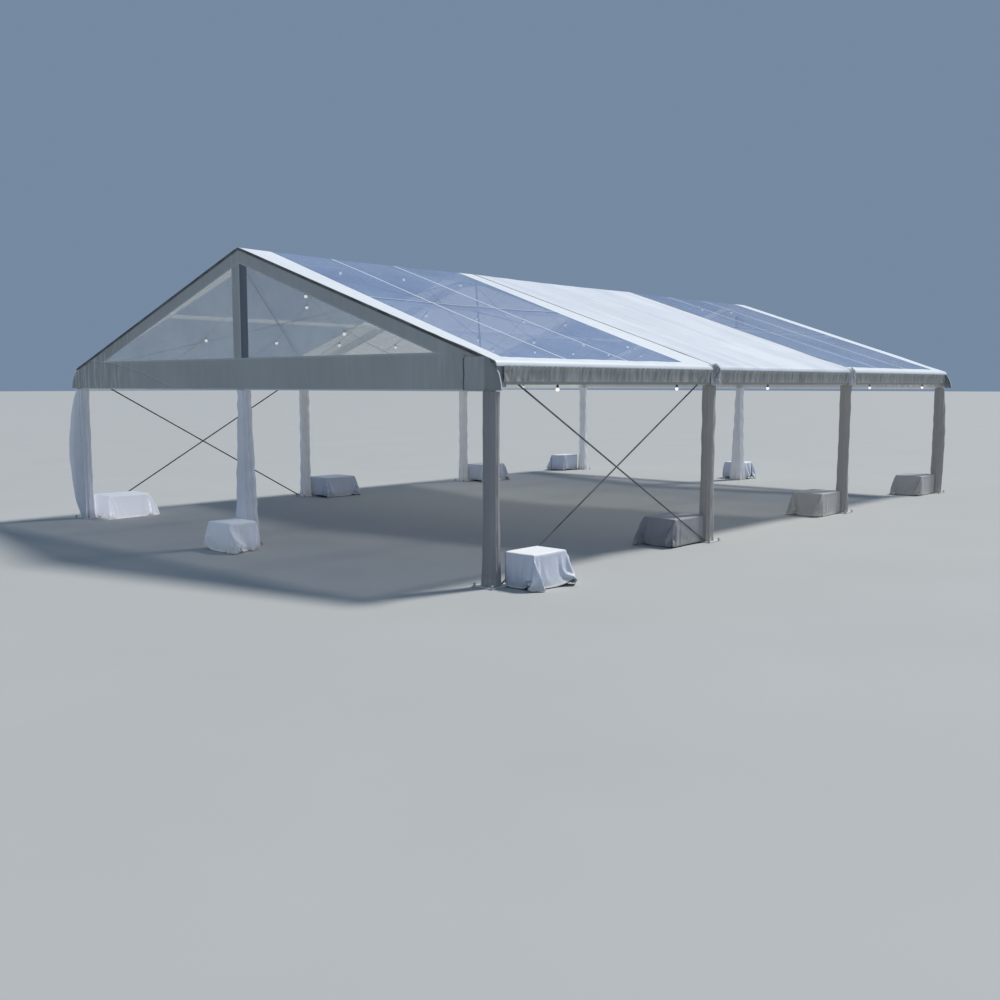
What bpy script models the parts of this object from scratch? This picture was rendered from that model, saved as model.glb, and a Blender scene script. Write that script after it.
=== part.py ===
"""A clear-span marquee tent of three bays: an aluminium frame under a roof of clear and white sheets.

X runs across the gable, Y along the ridge and Z up, in metres. The origin is on the ground in the
middle of the tent. The front gable faces -Y. Frames and legs are numbered 1 to 4 from the front.
The rear half repeats the front half turned half round about Z.
"""
import math

import bmesh
import bpy
from mathutils import Matrix, Vector

# Overall sizes
SPAN_WIDTH = 10.0               # from leg centre to leg centre across the gable
BAY_LENGTH = 5.0                # from one frame to the next
BAYS = 3
EAVE_HEIGHT = 2.75              # roof sheet's outer face above the leg centres
PITCH = math.radians(18.8)
GAP = 0.0003                    # between pieces that touch

# Aluminium frame
LEG_DEPTH = 0.10                # across the gable
LEG_WIDTH = 0.08                # along the ridge, the rafters' width too
RAFTER_DEPTH = 0.12
GUSSET_LENGTH = 0.30            # from the ridge to the gusset's tip
FOOT_PLATE_LENGTH = 0.34
FOOT_PLATE_THICKNESS = 0.012
POST_WIDTH = 0.12               # across the gable
EAVE_BEAM_WIDTH = 0.05
EAVE_BEAM_DEPTH = 0.10
RIDGE_PURLIN_WIDTH = 0.08
RIDGE_PURLIN_DEPTH = 0.10
RIDGE_PURLIN_DROP = 0.04        # below the sheet, which hangs a little between the frames
MID_PURLIN_WIDTH = 0.06
MID_PURLIN_DEPTH = 0.05
MID_PURLIN_DROP = 0.03
MID_PURLIN_OFFSET = 2.45        # from the ridge line

# Bracing straps
STRAP_WIDTH = 0.022
STRAP_THICKNESS = 0.006
WALL_STRAP_INSET = 0.13         # from a leg's centre to a strap's end
ROOF_STRAP_INSET = 0.15         # from the ridge, and from the leg centres
ROOF_STRAP_DROP = 0.002         # below the mid-slope purlins

# Sheets
SHEET_THICKNESS = 0.006
GABLE_DROP = 0.40               # of the gable sheets' lower edge, below the eaves
VALANCE_DROP = 0.33             # of the side valances' lower edge

# Cloth covers on the legs and posts: half widths at the foot, waist and head
LEG_COVER_FOOT = 0.115
LEG_COVER_WAIST = 0.098
LEG_COVER_HEAD = 0.105
POST_COVER_FOOT = 0.16
POST_COVER_WAIST = 0.125
POST_COVER_HEAD = 0.085
COVER_HEM_HEIGHT = 0.016
COVER_WAIST_SHARES = (0.25, 0.6)        # of the cover's height, where its waist begins and ends
COVER_HEAD_SHARE = 0.9
COVER_SIDES = 16
COVER_POWER = 4.0                       # of the superellipse that is its section

# Covered weights: widths across the gable, lengths along the ridge
WEIGHT_HEIGHT = 0.43
CORNER_WEIGHT_WIDTH = 0.46
CORNER_WEIGHT_LENGTH = 0.62
CORNER_WEIGHT_OFFSET = 0.09             # from the leg centre, outwards
SIDE_WEIGHT_WIDTH = 0.57
SIDE_WEIGHT_LENGTH = 0.80
SIDE_WEIGHT_OFFSET = 0.03               # from the leg centre, outwards
POST_WEIGHT_WIDTH = 0.52
POST_WEIGHT_LENGTH = 0.46
POST_WEIGHT_OFFSET = 0.06               # from the post's centre, to the left
WEIGHT_EDGE_RADIUS = 0.03
WEIGHT_CLEARANCE = 0.004                # from the cover beside it
HEM_SPREAD = 0.07                       # how far the cloth spreads at the ground
HEM_LEVELS = ((0.0, 1.0), (0.12, 0.55), (0.30, 0.2))    # height, and share of the spread
WEIGHT_POWER = 7.0

# Festoon lighting cables
CABLE_DIAMETER = 0.008
SWAG_DEPTH = 0.55               # of one swag from ridge to eave
SWAG_SHARES = (0.3, 0.65, 0.97)         # of the way from ridge to hook, where the route has a point
CROSSING_SPACING = 1.4          # between crossings, one of which is in the tent's middle
CROSSINGS = {"front": (-5, -4, -3, -2), "middle": (-1, 0, 1), "rear": (2, 3, 4, 5)}
HOOK_INSET = 0.05               # from the eave beam's outer face
HOOK_DROP = 0.006
EAVE_SAG_DEPTH = 0.16           # of the cable between two hooks under the eave beam

FRAMES = [(i - BAYS / 2) * BAY_LENGTH for i in range(BAYS + 1)]
HALF = SPAN_WIDTH / 2
TAN = math.tan(PITCH)
COS = math.cos(PITCH)
SIN = math.sin(PITCH)
RIDGE_HEIGHT = EAVE_HEIGHT + HALF * TAN
GABLE_BOTTOM = EAVE_HEIGHT - GABLE_DROP
VALANCE_BOTTOM = EAVE_HEIGHT - VALANCE_DROP
LEG_FACE = HALF + LEG_DEPTH / 2
EAVE_BEAM_FACE = LEG_FACE + GAP + EAVE_BEAM_WIDTH
VALANCE_FACE = EAVE_BEAM_FACE + GAP + SHEET_THICKNESS
FRAME_FACE = FRAMES[-1] + LEG_WIDTH / 2         # outer face of the end frames
GABLE_FACE = FRAME_FACE + GAP + SHEET_THICKNESS
RAFTER_TOP = SHEET_THICKNESS + GAP              # depths below the roof sheet's outer face
RAFTER_BOTTOM = RAFTER_TOP + RAFTER_DEPTH
MID_PURLIN_TOP = RAFTER_TOP + MID_PURLIN_DROP
MID_PURLIN_BOTTOM = MID_PURLIN_TOP + MID_PURLIN_DEPTH

ALUMINIUM = ("aluminium", (0.56, 0.57, 0.59), 0.38, 0.9)
STRAP_STEEL = ("strap", (0.09, 0.09, 0.10), 0.5, 0.6)
WHITE_SHEET = ("white_sheet", (0.86, 0.87, 0.89), 0.45, 0.0)
CLEAR_SHEET = ("clear_sheet", (0.72, 0.79, 0.86), 0.12, 0.0)
COVER_CLOTH = ("cover_cloth", (0.83, 0.84, 0.88), 0.75, 0.0)
CABLE_RUBBER = ("cable", (0.03, 0.03, 0.03), 0.6, 0.0)

ACROSS = ((1, 0, 0), (0, 0, 1))         # an outline seen from the front: x, z
ALONG = ((0, 1, 0), (0, 0, 1))          # an outline seen from the side: y, z


def clear_scene():
    for ob in list(bpy.data.objects):
        bpy.data.objects.remove(ob, do_unlink=True)


def collection(name):
    found = bpy.data.collections.get(name) or bpy.data.collections.new(name)
    if name not in bpy.context.scene.collection.children:
        bpy.context.scene.collection.children.link(found)
    return found


def material(finish):
    name, colour, roughness, metallic = finish
    mat = bpy.data.materials.get(name)
    if mat is None:
        mat = bpy.data.materials.new(name)
        mat.use_nodes = True
        shader = mat.node_tree.nodes["Principled BSDF"]
        shader.inputs["Base Color"].default_value = (*colour, 1.0)
        shader.inputs["Roughness"].default_value = roughness
        shader.inputs["Metallic"].default_value = metallic
    return mat


def add(name, data, finish, group=None):
    ob = bpy.data.objects.new(name, data)
    (group or TENT).objects.link(ob)
    if finish:
        data.materials.append(material(finish))
    return ob


def placed(u, v, origin):
    """The matrix that carries a flat outline's x, y and thickness onto u, v and their normal."""
    u = Vector(u).normalized()
    v = Vector(v).normalized()
    turn = Matrix((u, v, u.cross(v))).transposed().to_4x4()
    return Matrix.Translation(origin) @ turn


def solid_from_curve(ob):
    """Replaces a curve object by its mesh, with the end caps welded on."""
    mesh = bpy.data.meshes.new_from_object(ob.evaluated_get(bpy.context.evaluated_depsgraph_get()))
    work = bmesh.new()
    work.from_mesh(mesh)
    bmesh.ops.remove_doubles(work, verts=work.verts, dist=1e-5)
    work.to_mesh(mesh)
    work.free()
    solid = bpy.data.objects.new(ob.name, mesh)
    solid.matrix_world = ob.matrix_world
    for group in ob.users_collection:
        group.objects.link(solid)
    name = ob.name
    bpy.data.objects.remove(ob, do_unlink=True)
    solid.name = name
    return solid


def plate(name, outline, thickness, u, v, origin, finish, group=None):
    """A flat outline in the plane of u and v, as thick as told, centred on the origin's plane."""
    curve = bpy.data.curves.new(name, "CURVE")
    curve.dimensions = "2D"
    curve.fill_mode = "BOTH"
    curve.extrude = thickness / 2
    spline = curve.splines.new("POLY")
    spline.points.add(len(outline) - 1)
    for point, (x, y) in zip(spline.points, outline):
        point.co = (x, y, 0.0, 1.0)
    spline.use_cyclic_u = True
    ob = add(name, curve, finish, group)
    ob.matrix_world = placed(u, v, origin)
    bpy.context.view_layer.update()
    return solid_from_curve(ob)


def box(name, low, high, finish, group=None):
    mesh = bpy.data.meshes.new(name)
    work = bmesh.new()
    bmesh.ops.create_cube(work, size=1.0)
    size = Vector(high) - Vector(low)
    bmesh.ops.scale(work, vec=size, verts=work.verts)
    bmesh.ops.translate(work, vec=size / 2, verts=work.verts)
    work.to_mesh(mesh)
    work.free()
    ob = add(name, mesh, finish, group)
    ob.location = low
    return ob


def boolean(ob, other, operation):
    other.hide_render = True
    other.display_type = "WIRE"
    step = ob.modifiers.new(f"{operation.lower()}_{other.name}", "BOOLEAN")
    step.operation = operation
    step.object = other
    step.solver = "EXACT"


def loft(name, rings, finish):
    """Rings of equal point counts, from the lowest up, skinned together and closed at both ends."""
    mesh = bpy.data.meshes.new(name)
    work = bmesh.new()
    loops = [[work.verts.new(point) for point in ring] for ring in rings]
    count = len(loops[0])
    for lower, upper in zip(loops, loops[1:]):
        for i in range(count):
            j = (i + 1) % count
            work.faces.new((lower[i], lower[j], upper[j], upper[i]))
    work.faces.new(reversed(loops[0]))
    work.faces.new(loops[-1])
    work.to_mesh(mesh)
    work.free()
    return add(name, mesh, finish)


def roof_z(x, depth=0.0):
    """Height of the surface that lies depth below the roof sheet's outer face, square to it."""
    return RIDGE_HEIGHT - abs(x) * TAN - depth / COS


def in_slope(along, depth):
    """The x, z of a point of the right slope, from its place along the slope and its depth."""
    return along * COS - depth * SIN, RIDGE_HEIGHT - along * SIN - depth * COS


def eave_beam_bottom():
    return roof_z(EAVE_BEAM_FACE, RAFTER_TOP) - EAVE_BEAM_DEPTH


def ridge_purlin_top():
    return roof_z(RIDGE_PURLIN_WIDTH / 2, RAFTER_TOP) - RIDGE_PURLIN_DROP


def gusset_z():
    """Underside of the ridge gusset."""
    return roof_z(GUSSET_LENGTH, RAFTER_BOTTOM)


def foot_box(name, x, y, clearance=0.0):
    """A box round the foot plate at x, y that is larger than it by the clearance."""
    reach = FOOT_PLATE_LENGTH / 2 + clearance
    low = (x - reach, y - reach, -clearance)
    return box(name, low, (x + reach, y + reach, FOOT_PLATE_THICKNESS + clearance), None, CUTTERS)


def leg(name, side, y):
    """A box-section leg whose head is cut to the rafter's slope, welded to its foot plate."""
    outer, inner = side * LEG_FACE, side * (HALF - LEG_DEPTH / 2)
    foot = FOOT_PLATE_THICKNESS / 2
    outline = [(inner, foot), (outer, foot), (outer, roof_z(outer, RAFTER_BOTTOM + GAP)),
               (inner, roof_z(inner, RAFTER_BOTTOM + GAP))]
    ob = plate(name, outline, LEG_WIDTH, *ACROSS, (0, y, 0), ALUMINIUM)
    boolean(ob, foot_box(f"{name}_foot", side * HALF, y), "UNION")


def gable_post(name, y):
    half = POST_WIDTH / 2
    low = (-half, y - LEG_WIDTH / 2, FOOT_PLATE_THICKNESS / 2)
    ob = box(name, low, (half, y + LEG_WIDTH / 2, gusset_z() - GAP), ALUMINIUM)
    boolean(ob, foot_box(f"{name}_foot", 0.0, y), "UNION")


def rafter_pair(name, y):
    """Two rafters joined at the ridge by a gusset that fills their angle. The ridge purlin and the
    mid-slope purlins lie in notches in its top."""
    middle = MID_PURLIN_OFFSET / COS
    half = MID_PURLIN_WIDTH / 2 + GAP
    floor = MID_PURLIN_BOTTOM + GAP
    pocket = RIDGE_PURLIN_WIDTH / 2 + GAP
    right = [
        (pocket, ridge_purlin_top() - RIDGE_PURLIN_DEPTH - GAP), (pocket, roof_z(pocket, RAFTER_TOP)),
        in_slope(middle - half, RAFTER_TOP), in_slope(middle - half, floor),
        in_slope(middle + half, floor), in_slope(middle + half, RAFTER_TOP),
        (LEG_FACE, roof_z(LEG_FACE, RAFTER_TOP)), (LEG_FACE, roof_z(LEG_FACE, RAFTER_BOTTOM)),
        (GUSSET_LENGTH, gusset_z())]
    left = [(-x, z) for x, z in reversed(right)]
    plate(name, right + left, LEG_WIDTH, *ACROSS, (0, y, 0), ALUMINIUM)


def eave_beam(name, side):
    """Along the rafters' ends, on their outer faces, with its top edge just under the sheet."""
    bottom = eave_beam_bottom()
    faces = sorted((side * (LEG_FACE + GAP), side * EAVE_BEAM_FACE))
    low = (faces[0], -FRAME_FACE, bottom)
    box(name, low, (faces[1], FRAME_FACE, bottom + EAVE_BEAM_DEPTH), ALUMINIUM)


def mid_purlin(name, side):
    """Square to the slope, in the rafters' notches."""
    middle = MID_PURLIN_OFFSET / COS
    low, high = middle - MID_PURLIN_WIDTH / 2, middle + MID_PURLIN_WIDTH / 2
    corners = [(low, MID_PURLIN_TOP), (high, MID_PURLIN_TOP), (high, MID_PURLIN_BOTTOM),
               (low, MID_PURLIN_BOTTOM)]
    outline = [(side * x, z) for x, z in (in_slope(*corner) for corner in corners)]
    plate(name, outline, 2 * FRAME_FACE, *ACROSS, (0, 0, 0), ALUMINIUM)


def ridge_purlin(name):
    half = RIDGE_PURLIN_WIDTH / 2
    top = ridge_purlin_top()
    box(name, (-half, -FRAME_FACE, top - RIDGE_PURLIN_DEPTH), (half, FRAME_FACE, top), ALUMINIUM)


def cross(half_long, half_high):
    """Outline of two crossed straps whose ends are cut square to the long way and just fill the
    rectangle."""
    half = STRAP_WIDTH / 2
    across = math.hypot(half_long, half_high)
    angle = math.acos(half / across) - math.atan2(half_long, half_high)
    rise = half_long * math.tan(angle)
    end = half / math.cos(angle)
    crotch = half / math.sin(angle)
    upper = [(half_long, rise - end), (half_long, rise + end), (0.0, end),
             (-half_long, rise + end), (-half_long, rise - end)]
    lower = [(-x, -z) for x, z in upper]
    return upper + [(-crotch, 0.0)] + lower + [(crotch, 0.0)]


def wall_brace(name, side):
    """Crossed straps in the front bay, outside the legs, from the eave beam to the foot plates."""
    bottom = FOOT_PLATE_THICKNESS + GAP
    top = eave_beam_bottom() - GAP
    outline = cross(BAY_LENGTH / 2 - WALL_STRAP_INSET, (top - bottom) / 2)
    across = side * (LEG_FACE + GAP + STRAP_THICKNESS / 2)
    origin = (across, (FRAMES[0] + FRAMES[1]) / 2, (top + bottom) / 2)
    plate(name, outline, STRAP_THICKNESS, *ALONG, origin, STRAP_STEEL)


def roof_brace(name, side):
    """Crossed straps in the front bay, under the mid-slope purlin, from rafter to rafter."""
    high, low = ROOF_STRAP_INSET / COS, (HALF - ROOF_STRAP_INSET) / COS
    outline = cross(BAY_LENGTH / 2 - LEG_WIDTH / 2 - GAP, (low - high) / 2)
    depth = MID_PURLIN_BOTTOM + ROOF_STRAP_DROP + STRAP_THICKNESS / 2
    x, z = in_slope((low + high) / 2, depth)
    origin = (side * x, (FRAMES[0] + FRAMES[1]) / 2, z)
    downhill = (side * COS, 0, -SIN)
    plate(name, outline, STRAP_THICKNESS, (0, 1, 0), downhill, origin, STRAP_STEEL)


def roof_sheet(name, bay, finish):
    """One folded sheet over both slopes of a bay. The end bays' sheets run out over the gables."""
    low = -GABLE_FACE if bay == 0 else FRAMES[bay] + GAP / 2
    high = GABLE_FACE if bay == BAYS - 1 else FRAMES[bay + 1] - GAP / 2
    outer = [(x, roof_z(x)) for x in (VALANCE_FACE, 0.0, -VALANCE_FACE)]
    inner = [(x, roof_z(x, SHEET_THICKNESS)) for x in (-VALANCE_FACE, 0.0, VALANCE_FACE)]
    plate(name, outer + inner, high - low, *ACROSS, (0, (low + high) / 2, 0), finish)


def gable_sheet(name, end):
    """The whole gable above the openings: a house-shaped sheet on the end frame's outer face."""
    top = [(x, roof_z(x, RAFTER_TOP)) for x in (VALANCE_FACE, 0.0, -VALANCE_FACE)]
    outline = [(-VALANCE_FACE, GABLE_BOTTOM), (VALANCE_FACE, GABLE_BOTTOM)] + top
    origin = (0, end * (GABLE_FACE - SHEET_THICKNESS / 2), 0)
    plate(name, outline, SHEET_THICKNESS, *ACROSS, origin, WHITE_SHEET)


def side_valance(name, side):
    """The strip that hangs from the eave along one whole side."""
    faces = sorted((side * VALANCE_FACE, side * (VALANCE_FACE - SHEET_THICKNESS)))
    low = (faces[0], -FRAME_FACE, VALANCE_BOTTOM)
    box(name, low, (faces[1], FRAME_FACE, roof_z(VALANCE_FACE, RAFTER_TOP)), WHITE_SHEET)


def rounded_ring(x, y, z, half_x, half_y, power):
    """A superellipse: |x|^power + |y|^power = 1, stretched to the half widths."""
    ring = []
    for i in range(COVER_SIDES):
        angle = 2 * math.pi * (i + 0.5) / COVER_SIDES
        c, s = math.cos(angle), math.sin(angle)
        shrink = (abs(c) ** power + abs(s) ** power) ** (-1 / power)
        ring.append((x + half_x * c * shrink, y + half_y * s * shrink, z))
    return ring


def cover(name, x, y, top, widths, core):
    """A cloth cover round a leg or post, from its hem to the sheet above it, with its bore cut to
    the size of the leg. widths are the half widths at the foot, waist and head."""
    foot, waist, head = widths
    levels = [(COVER_HEM_HEIGHT, foot)] + [(share * top, waist) for share in COVER_WAIST_SHARES]
    levels += [(COVER_HEAD_SHARE * top, head), (top, head)]
    rings = [rounded_ring(x, y, z, half, half, COVER_POWER) for z, half in levels]
    ob = loft(name, rings, COVER_CLOTH)
    half_x, half_y = core[0] + GAP, core[1] + GAP
    bore = box(f"{name}_bore", (x - half_x, y - half_y, 0.0), (x + half_x, y + half_y, 2 * top),
               None, CUTTERS)
    boolean(ob, bore, "DIFFERENCE")


def weight(name, low, high, spreads, foot):
    """A block under a cloth: low and high are its top's corners, spreads say which of its four
    sides (-X, -Y, +X, +Y) spread at the ground. It is cut clear of the foot plate below it."""
    (x0, y0), (x1, y1) = low, high
    levels = [(z, share, 0.0) for z, share in HEM_LEVELS]
    levels += [(WEIGHT_HEIGHT - WEIGHT_EDGE_RADIUS, 0.0, 0.0), (WEIGHT_HEIGHT, 0.0, WEIGHT_EDGE_RADIUS)]
    rings = []
    for z, share, inset in levels:
        left, front, right, back = [HEM_SPREAD * share * spread - inset for spread in spreads]
        a, b, c, d = x0 - left, y0 - front, x1 + right, y1 + back
        middle = ((a + c) / 2, (b + d) / 2)
        rings.append(rounded_ring(*middle, z, (c - a) / 2, (d - b) / 2, WEIGHT_POWER))
    ob = loft(name, rings, COVER_CLOTH)
    boolean(ob, foot_box(f"{name}_notch", *foot, GAP), "DIFFERENCE")


def turned(side, corners, spreads):
    """The same place on the left side: turned half round about Z."""
    if side > 0:
        return corners, spreads
    (x0, y0), (x1, y1) = corners
    return ((-x1, -y1), (-x0, -y0)), spreads[2:] + spreads[:2]


def between(row, knots, low, high, j, t):
    """The point at t on the line from row[j] at knot low to row[j + 1] at knot high."""
    return row[j] + (row[j + 1] - row[j]) * ((t - knots[low]) / (knots[high] - knots[low]))


def smooth_through(points):
    """The points with one more halfway along each span, on a centripetal Catmull-Rom curve: three
    rounds of blending between knots whose spacing is the root of the distance."""
    points = [Vector(p) for p in points]
    ends = [2 * points[0] - points[1]] + points + [2 * points[-1] - points[-2]]
    line = []
    for i in range(len(points) - 1):
        four = ends[i:i + 4]
        knots = [0.0]
        for a, b in zip(four, four[1:]):
            knots.append(knots[-1] + math.sqrt((b - a).length))
        t = (knots[1] + knots[2]) / 2
        firsts = [between(four, knots, j, j + 1, j, t) for j in range(3)]
        seconds = [between(firsts, knots, j, j + 2, j, t) for j in range(2)]
        line += [four[1], between(seconds, knots, 1, 2, 0, t)]
    return line + [points[-1]]


def festoon_route(crossings):
    """Points of a lighting cable: from eave to ridge to eave in two swags, on to the next crossing
    in a shallow swag under the eave beam, and back."""
    ridge = ridge_purlin_top() - RIDGE_PURLIN_DEPTH - GAP - CABLE_DIAMETER / 2
    eave = eave_beam_bottom() - CABLE_DIAMETER / 2 - HOOK_DROP
    hook = EAVE_BEAM_FACE - HOOK_INSET
    down = [(hook * t, ridge + (eave - ridge) * t - 4 * SWAG_DEPTH * t * (1 - t)) for t in SWAG_SHARES]
    down.append((hook, eave))
    points = []
    for n, crossing in enumerate(crossings):
        y = crossing * CROSSING_SPACING
        way = -1 if n % 2 == 0 else 1
        points += [(way * x, y, z) for x, z in reversed(down)]
        points.append((0.0, y, ridge))
        points += [(-way * x, y, z) for x, z in down]
        points.append((-way * hook, y + CROSSING_SPACING / 2, eave - EAVE_SAG_DEPTH))
    return points[:-1]


def festoon(name, crossings):
    curve = bpy.data.curves.new(name, "CURVE")
    curve.dimensions = "3D"
    curve.bevel_depth = CABLE_DIAMETER / 2
    curve.bevel_resolution = 2
    curve.use_fill_caps = True
    line = smooth_through(festoon_route(crossings))
    spline = curve.splines.new("POLY")
    spline.points.add(len(line) - 1)
    for point, place in zip(spline.points, line):
        point.co = (*place, 1.0)
    ob = add(name, curve, CABLE_RUBBER)
    bpy.context.view_layer.update()
    solid_from_curve(ob)


def build_frame():
    for i, y in enumerate(FRAMES):
        rafter_pair(f"rafter_pair_{i + 1}", y)
        for word, side in (("left", -1), ("right", 1)):
            leg(f"leg_{word}_{i + 1}", side, y)
    gable_post("gable_post_front", FRAMES[0])
    gable_post("gable_post_rear", FRAMES[-1])
    ridge_purlin("ridge_purlin")
    for word, side in (("left", -1), ("right", 1)):
        eave_beam(f"eave_beam_{word}", side)
        mid_purlin(f"mid_purlin_{word}", side)
        wall_brace(f"wall_brace_{word}", side)
        roof_brace(f"roof_brace_{word}", side)


def build_sheets():
    roof_sheet("roof_clear_front", 0, CLEAR_SHEET)
    roof_sheet("roof_white_middle", 1, WHITE_SHEET)
    roof_sheet("roof_clear_rear", 2, CLEAR_SHEET)
    gable_sheet("gable_sheet_front", -1)
    gable_sheet("gable_sheet_rear", 1)
    side_valance("valance_left", -1)
    side_valance("valance_right", 1)


def build_covers():
    core = (LEG_DEPTH / 2, LEG_WIDTH / 2)
    widths = (LEG_COVER_FOOT, LEG_COVER_WAIST, LEG_COVER_HEAD)
    for i, y in enumerate(FRAMES):
        above = GABLE_BOTTOM if i in (0, BAYS) else VALANCE_BOTTOM
        for word, side in (("left", -1), ("right", 1)):
            cover(f"leg_cover_{word}_{i + 1}", side * HALF, y, above - GAP, widths, core)
    core = (POST_WIDTH / 2, LEG_WIDTH / 2)
    widths = (POST_COVER_FOOT, POST_COVER_WAIST, POST_COVER_HEAD)
    for word, y in (("front", FRAMES[0]), ("rear", FRAMES[-1])):
        cover(f"post_cover_{word}", 0.0, y, GABLE_BOTTOM - GAP, widths, core)


def build_weights():
    """On the right side each weight stands before its leg, in line with the wall, but the first one
    stands outside the wall behind its leg. The left side is the right side turned half round."""
    beside = LEG_COVER_FOOT + WEIGHT_CLEARANCE
    for i, y in enumerate(FRAMES):
        if i == 0:
            near = (HALF + CORNER_WEIGHT_OFFSET, y + beside)
            far = (near[0] + CORNER_WEIGHT_WIDTH, near[1] + CORNER_WEIGHT_LENGTH)
            spreads = (0, 0, 1, 1)
        else:
            far = (HALF + SIDE_WEIGHT_OFFSET, y - beside)
            near = (far[0] - SIDE_WEIGHT_WIDTH, far[1] - SIDE_WEIGHT_LENGTH)
            spreads = (1, 1, 0, 0)
        for word, side in (("left", -1), ("right", 1)):
            number = i + 1 if side > 0 else BAYS + 1 - i
            corners, spread = turned(side, (near, far), spreads)
            weight(f"weight_{word}_{number}", *corners, spread, (side * HALF, side * y))
    far_y = FRAMES[0] - POST_COVER_FOOT - WEIGHT_CLEARANCE
    near = (-POST_WEIGHT_OFFSET, far_y - POST_WEIGHT_LENGTH)
    far = (POST_WEIGHT_WIDTH - POST_WEIGHT_OFFSET, far_y)
    for word, side in (("front", 1), ("rear", -1)):
        corners, spreads = turned(side, (near, far), (1, 1, 1, 0))
        weight(f"post_weight_{word}", *corners, spreads, (0.0, side * FRAMES[0]))


clear_scene()
TENT = collection("marquee_tent")
CUTTERS = collection("cutters")
build_frame()
build_sheets()
build_covers()
build_weights()
for word, crossings in CROSSINGS.items():
    festoon(f"festoon_{word}", crossings)
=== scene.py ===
"""The looks of a clear-span marquee tent: coated sheets and clear film over an aluminium frame, draped
legs and weights, bracing, fittings and festoon lights.

X runs across the gable, Y along the ridge and Z up, in metres. The front gable faces -Y.
"""

import itertools
import math

import bmesh
import bpy
import numpy as np
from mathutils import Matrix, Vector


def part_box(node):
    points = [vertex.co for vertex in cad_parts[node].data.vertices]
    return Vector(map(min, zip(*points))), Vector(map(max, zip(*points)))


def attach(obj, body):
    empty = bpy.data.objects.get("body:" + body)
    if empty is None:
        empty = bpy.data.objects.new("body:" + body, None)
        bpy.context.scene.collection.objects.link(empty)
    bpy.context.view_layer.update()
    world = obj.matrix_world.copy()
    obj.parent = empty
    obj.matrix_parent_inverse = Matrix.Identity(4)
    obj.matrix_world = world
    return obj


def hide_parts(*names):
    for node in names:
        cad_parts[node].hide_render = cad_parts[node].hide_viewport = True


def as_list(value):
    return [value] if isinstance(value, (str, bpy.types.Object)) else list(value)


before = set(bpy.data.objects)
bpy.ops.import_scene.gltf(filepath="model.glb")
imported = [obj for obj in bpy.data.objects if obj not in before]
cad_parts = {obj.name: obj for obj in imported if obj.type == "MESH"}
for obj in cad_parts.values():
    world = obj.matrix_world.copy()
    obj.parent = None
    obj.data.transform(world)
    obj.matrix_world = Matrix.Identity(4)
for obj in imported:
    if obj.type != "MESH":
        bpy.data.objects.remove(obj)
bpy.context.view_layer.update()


def corners(node):
    low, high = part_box(node)
    return np.array(low), np.array(high)


def middle(node):
    low, high = corners(node)
    return (low + high) / 2


# The words for each side and each end
SIDES = {-1: "left", 1: "right"}
ENDS = {-1: "front", 1: "rear"}

# Places taken from the frame
FRAMES = [middle(f"leg_right_{i}")[1] for i in (1, 2, 3, 4)]
HALF = middle("leg_right_1")[0]
RIDGE = corners("roof_white_middle")[1][2]
SIDE_FACE = corners("valance_right")[1][0]
GABLE_FACE = -corners("gable_sheet_front")[0][1]
GABLE_BOTTOM = corners("gable_sheet_front")[0][2]
VALANCE_BOTTOM = corners("valance_right")[0][2]
RAFTER_FACE = corners("rafter_pair_1")[1][1] - FRAMES[0]
PITCH = math.radians(18.8)
TAN, COS, SIN = math.tan(PITCH), math.cos(PITCH), math.sin(PITCH)
MID_PURLIN = middle("mid_purlin_right")[0]

# The roof's sheets
EAVE_RADIUS = 0.07              # of the sheet's roll round the eave beam
ROLL_TILT = math.radians(125)   # where the roll ends and the valance hangs from it
ROLL_MIDDLE = SIDE_FACE + 0.025 - EAVE_RADIUS
RIDGE_RADIUS = 0.03
SHEET_THICKNESS = 0.003
SLOPE_END = (ROLL_MIDDLE + EAVE_RADIUS * SIN) / COS
BEND_END = SLOPE_END + EAVE_RADIUS * (ROLL_TILT - PITCH)
ROLL_HEIGHT = RIDGE - SLOPE_END * SIN - EAVE_RADIUS * COS
HANG_TOP = ROLL_HEIGHT + EAVE_RADIUS * math.cos(ROLL_TILT)
VALANCE_START = SLOPE_END + EAVE_RADIUS * (math.radians(88) - PITCH)
BAY_SAG = 0.022                 # of a roof sheet between two frames
RIDGE_SAG = 0.016
JOINT_HALF = 0.019              # half the gap between two bays' sheets

# The film in the two clear bays: where it starts and ends along the ridge and where its two welds lie,
# each at the ridge and at the film's foot
FILM_FOOT = 4.96                # |x| of that foot
FRONT_FILM = ((-6.98, -7.28), (-2.88, -3.22), ((-5.80, -6.02), (-4.45, -4.64)))
REAR_FILM = ((2.56, 2.56), (7.08, 7.08), ((4.06, 4.06), (5.56, 5.56)))
FILM_WELD_HALF = 0.02
FILM_EDGE_HALF = 0.012

# The gables
WINDOW_FOOT = 2.825             # height of the windows' lower edge
WINDOW_HEAD = 0.235             # the band between the windows and the roof
WINDOW_WELD = 0.024             # the width of the weld round them
STRIP_PLACE = -0.085            # the strip between the two windows
STRIP_HALF = 0.095
# The next two place a band of painted shade in the windows' film, which stands for the post behind it.
POST_PLACE = 0.110              # the gable's post, in shade behind the film beside that strip
POST_HALF = 0.092
# The slack fold below is painted, as a line of shade with a painted highlight above it.
SLACK_ENDS = (-4.68, -2.02)     # a slack fold arches down across the band on the left
SLACK_TOP = (-4.7, 2.83)
SLACK_BEND = 0.0615
REAR_HANG = 0.022               # the rear gable's sheet hangs a little lower
GABLE_GAP = 0.016               # between a gable sheet's upper edge and the roof

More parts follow.
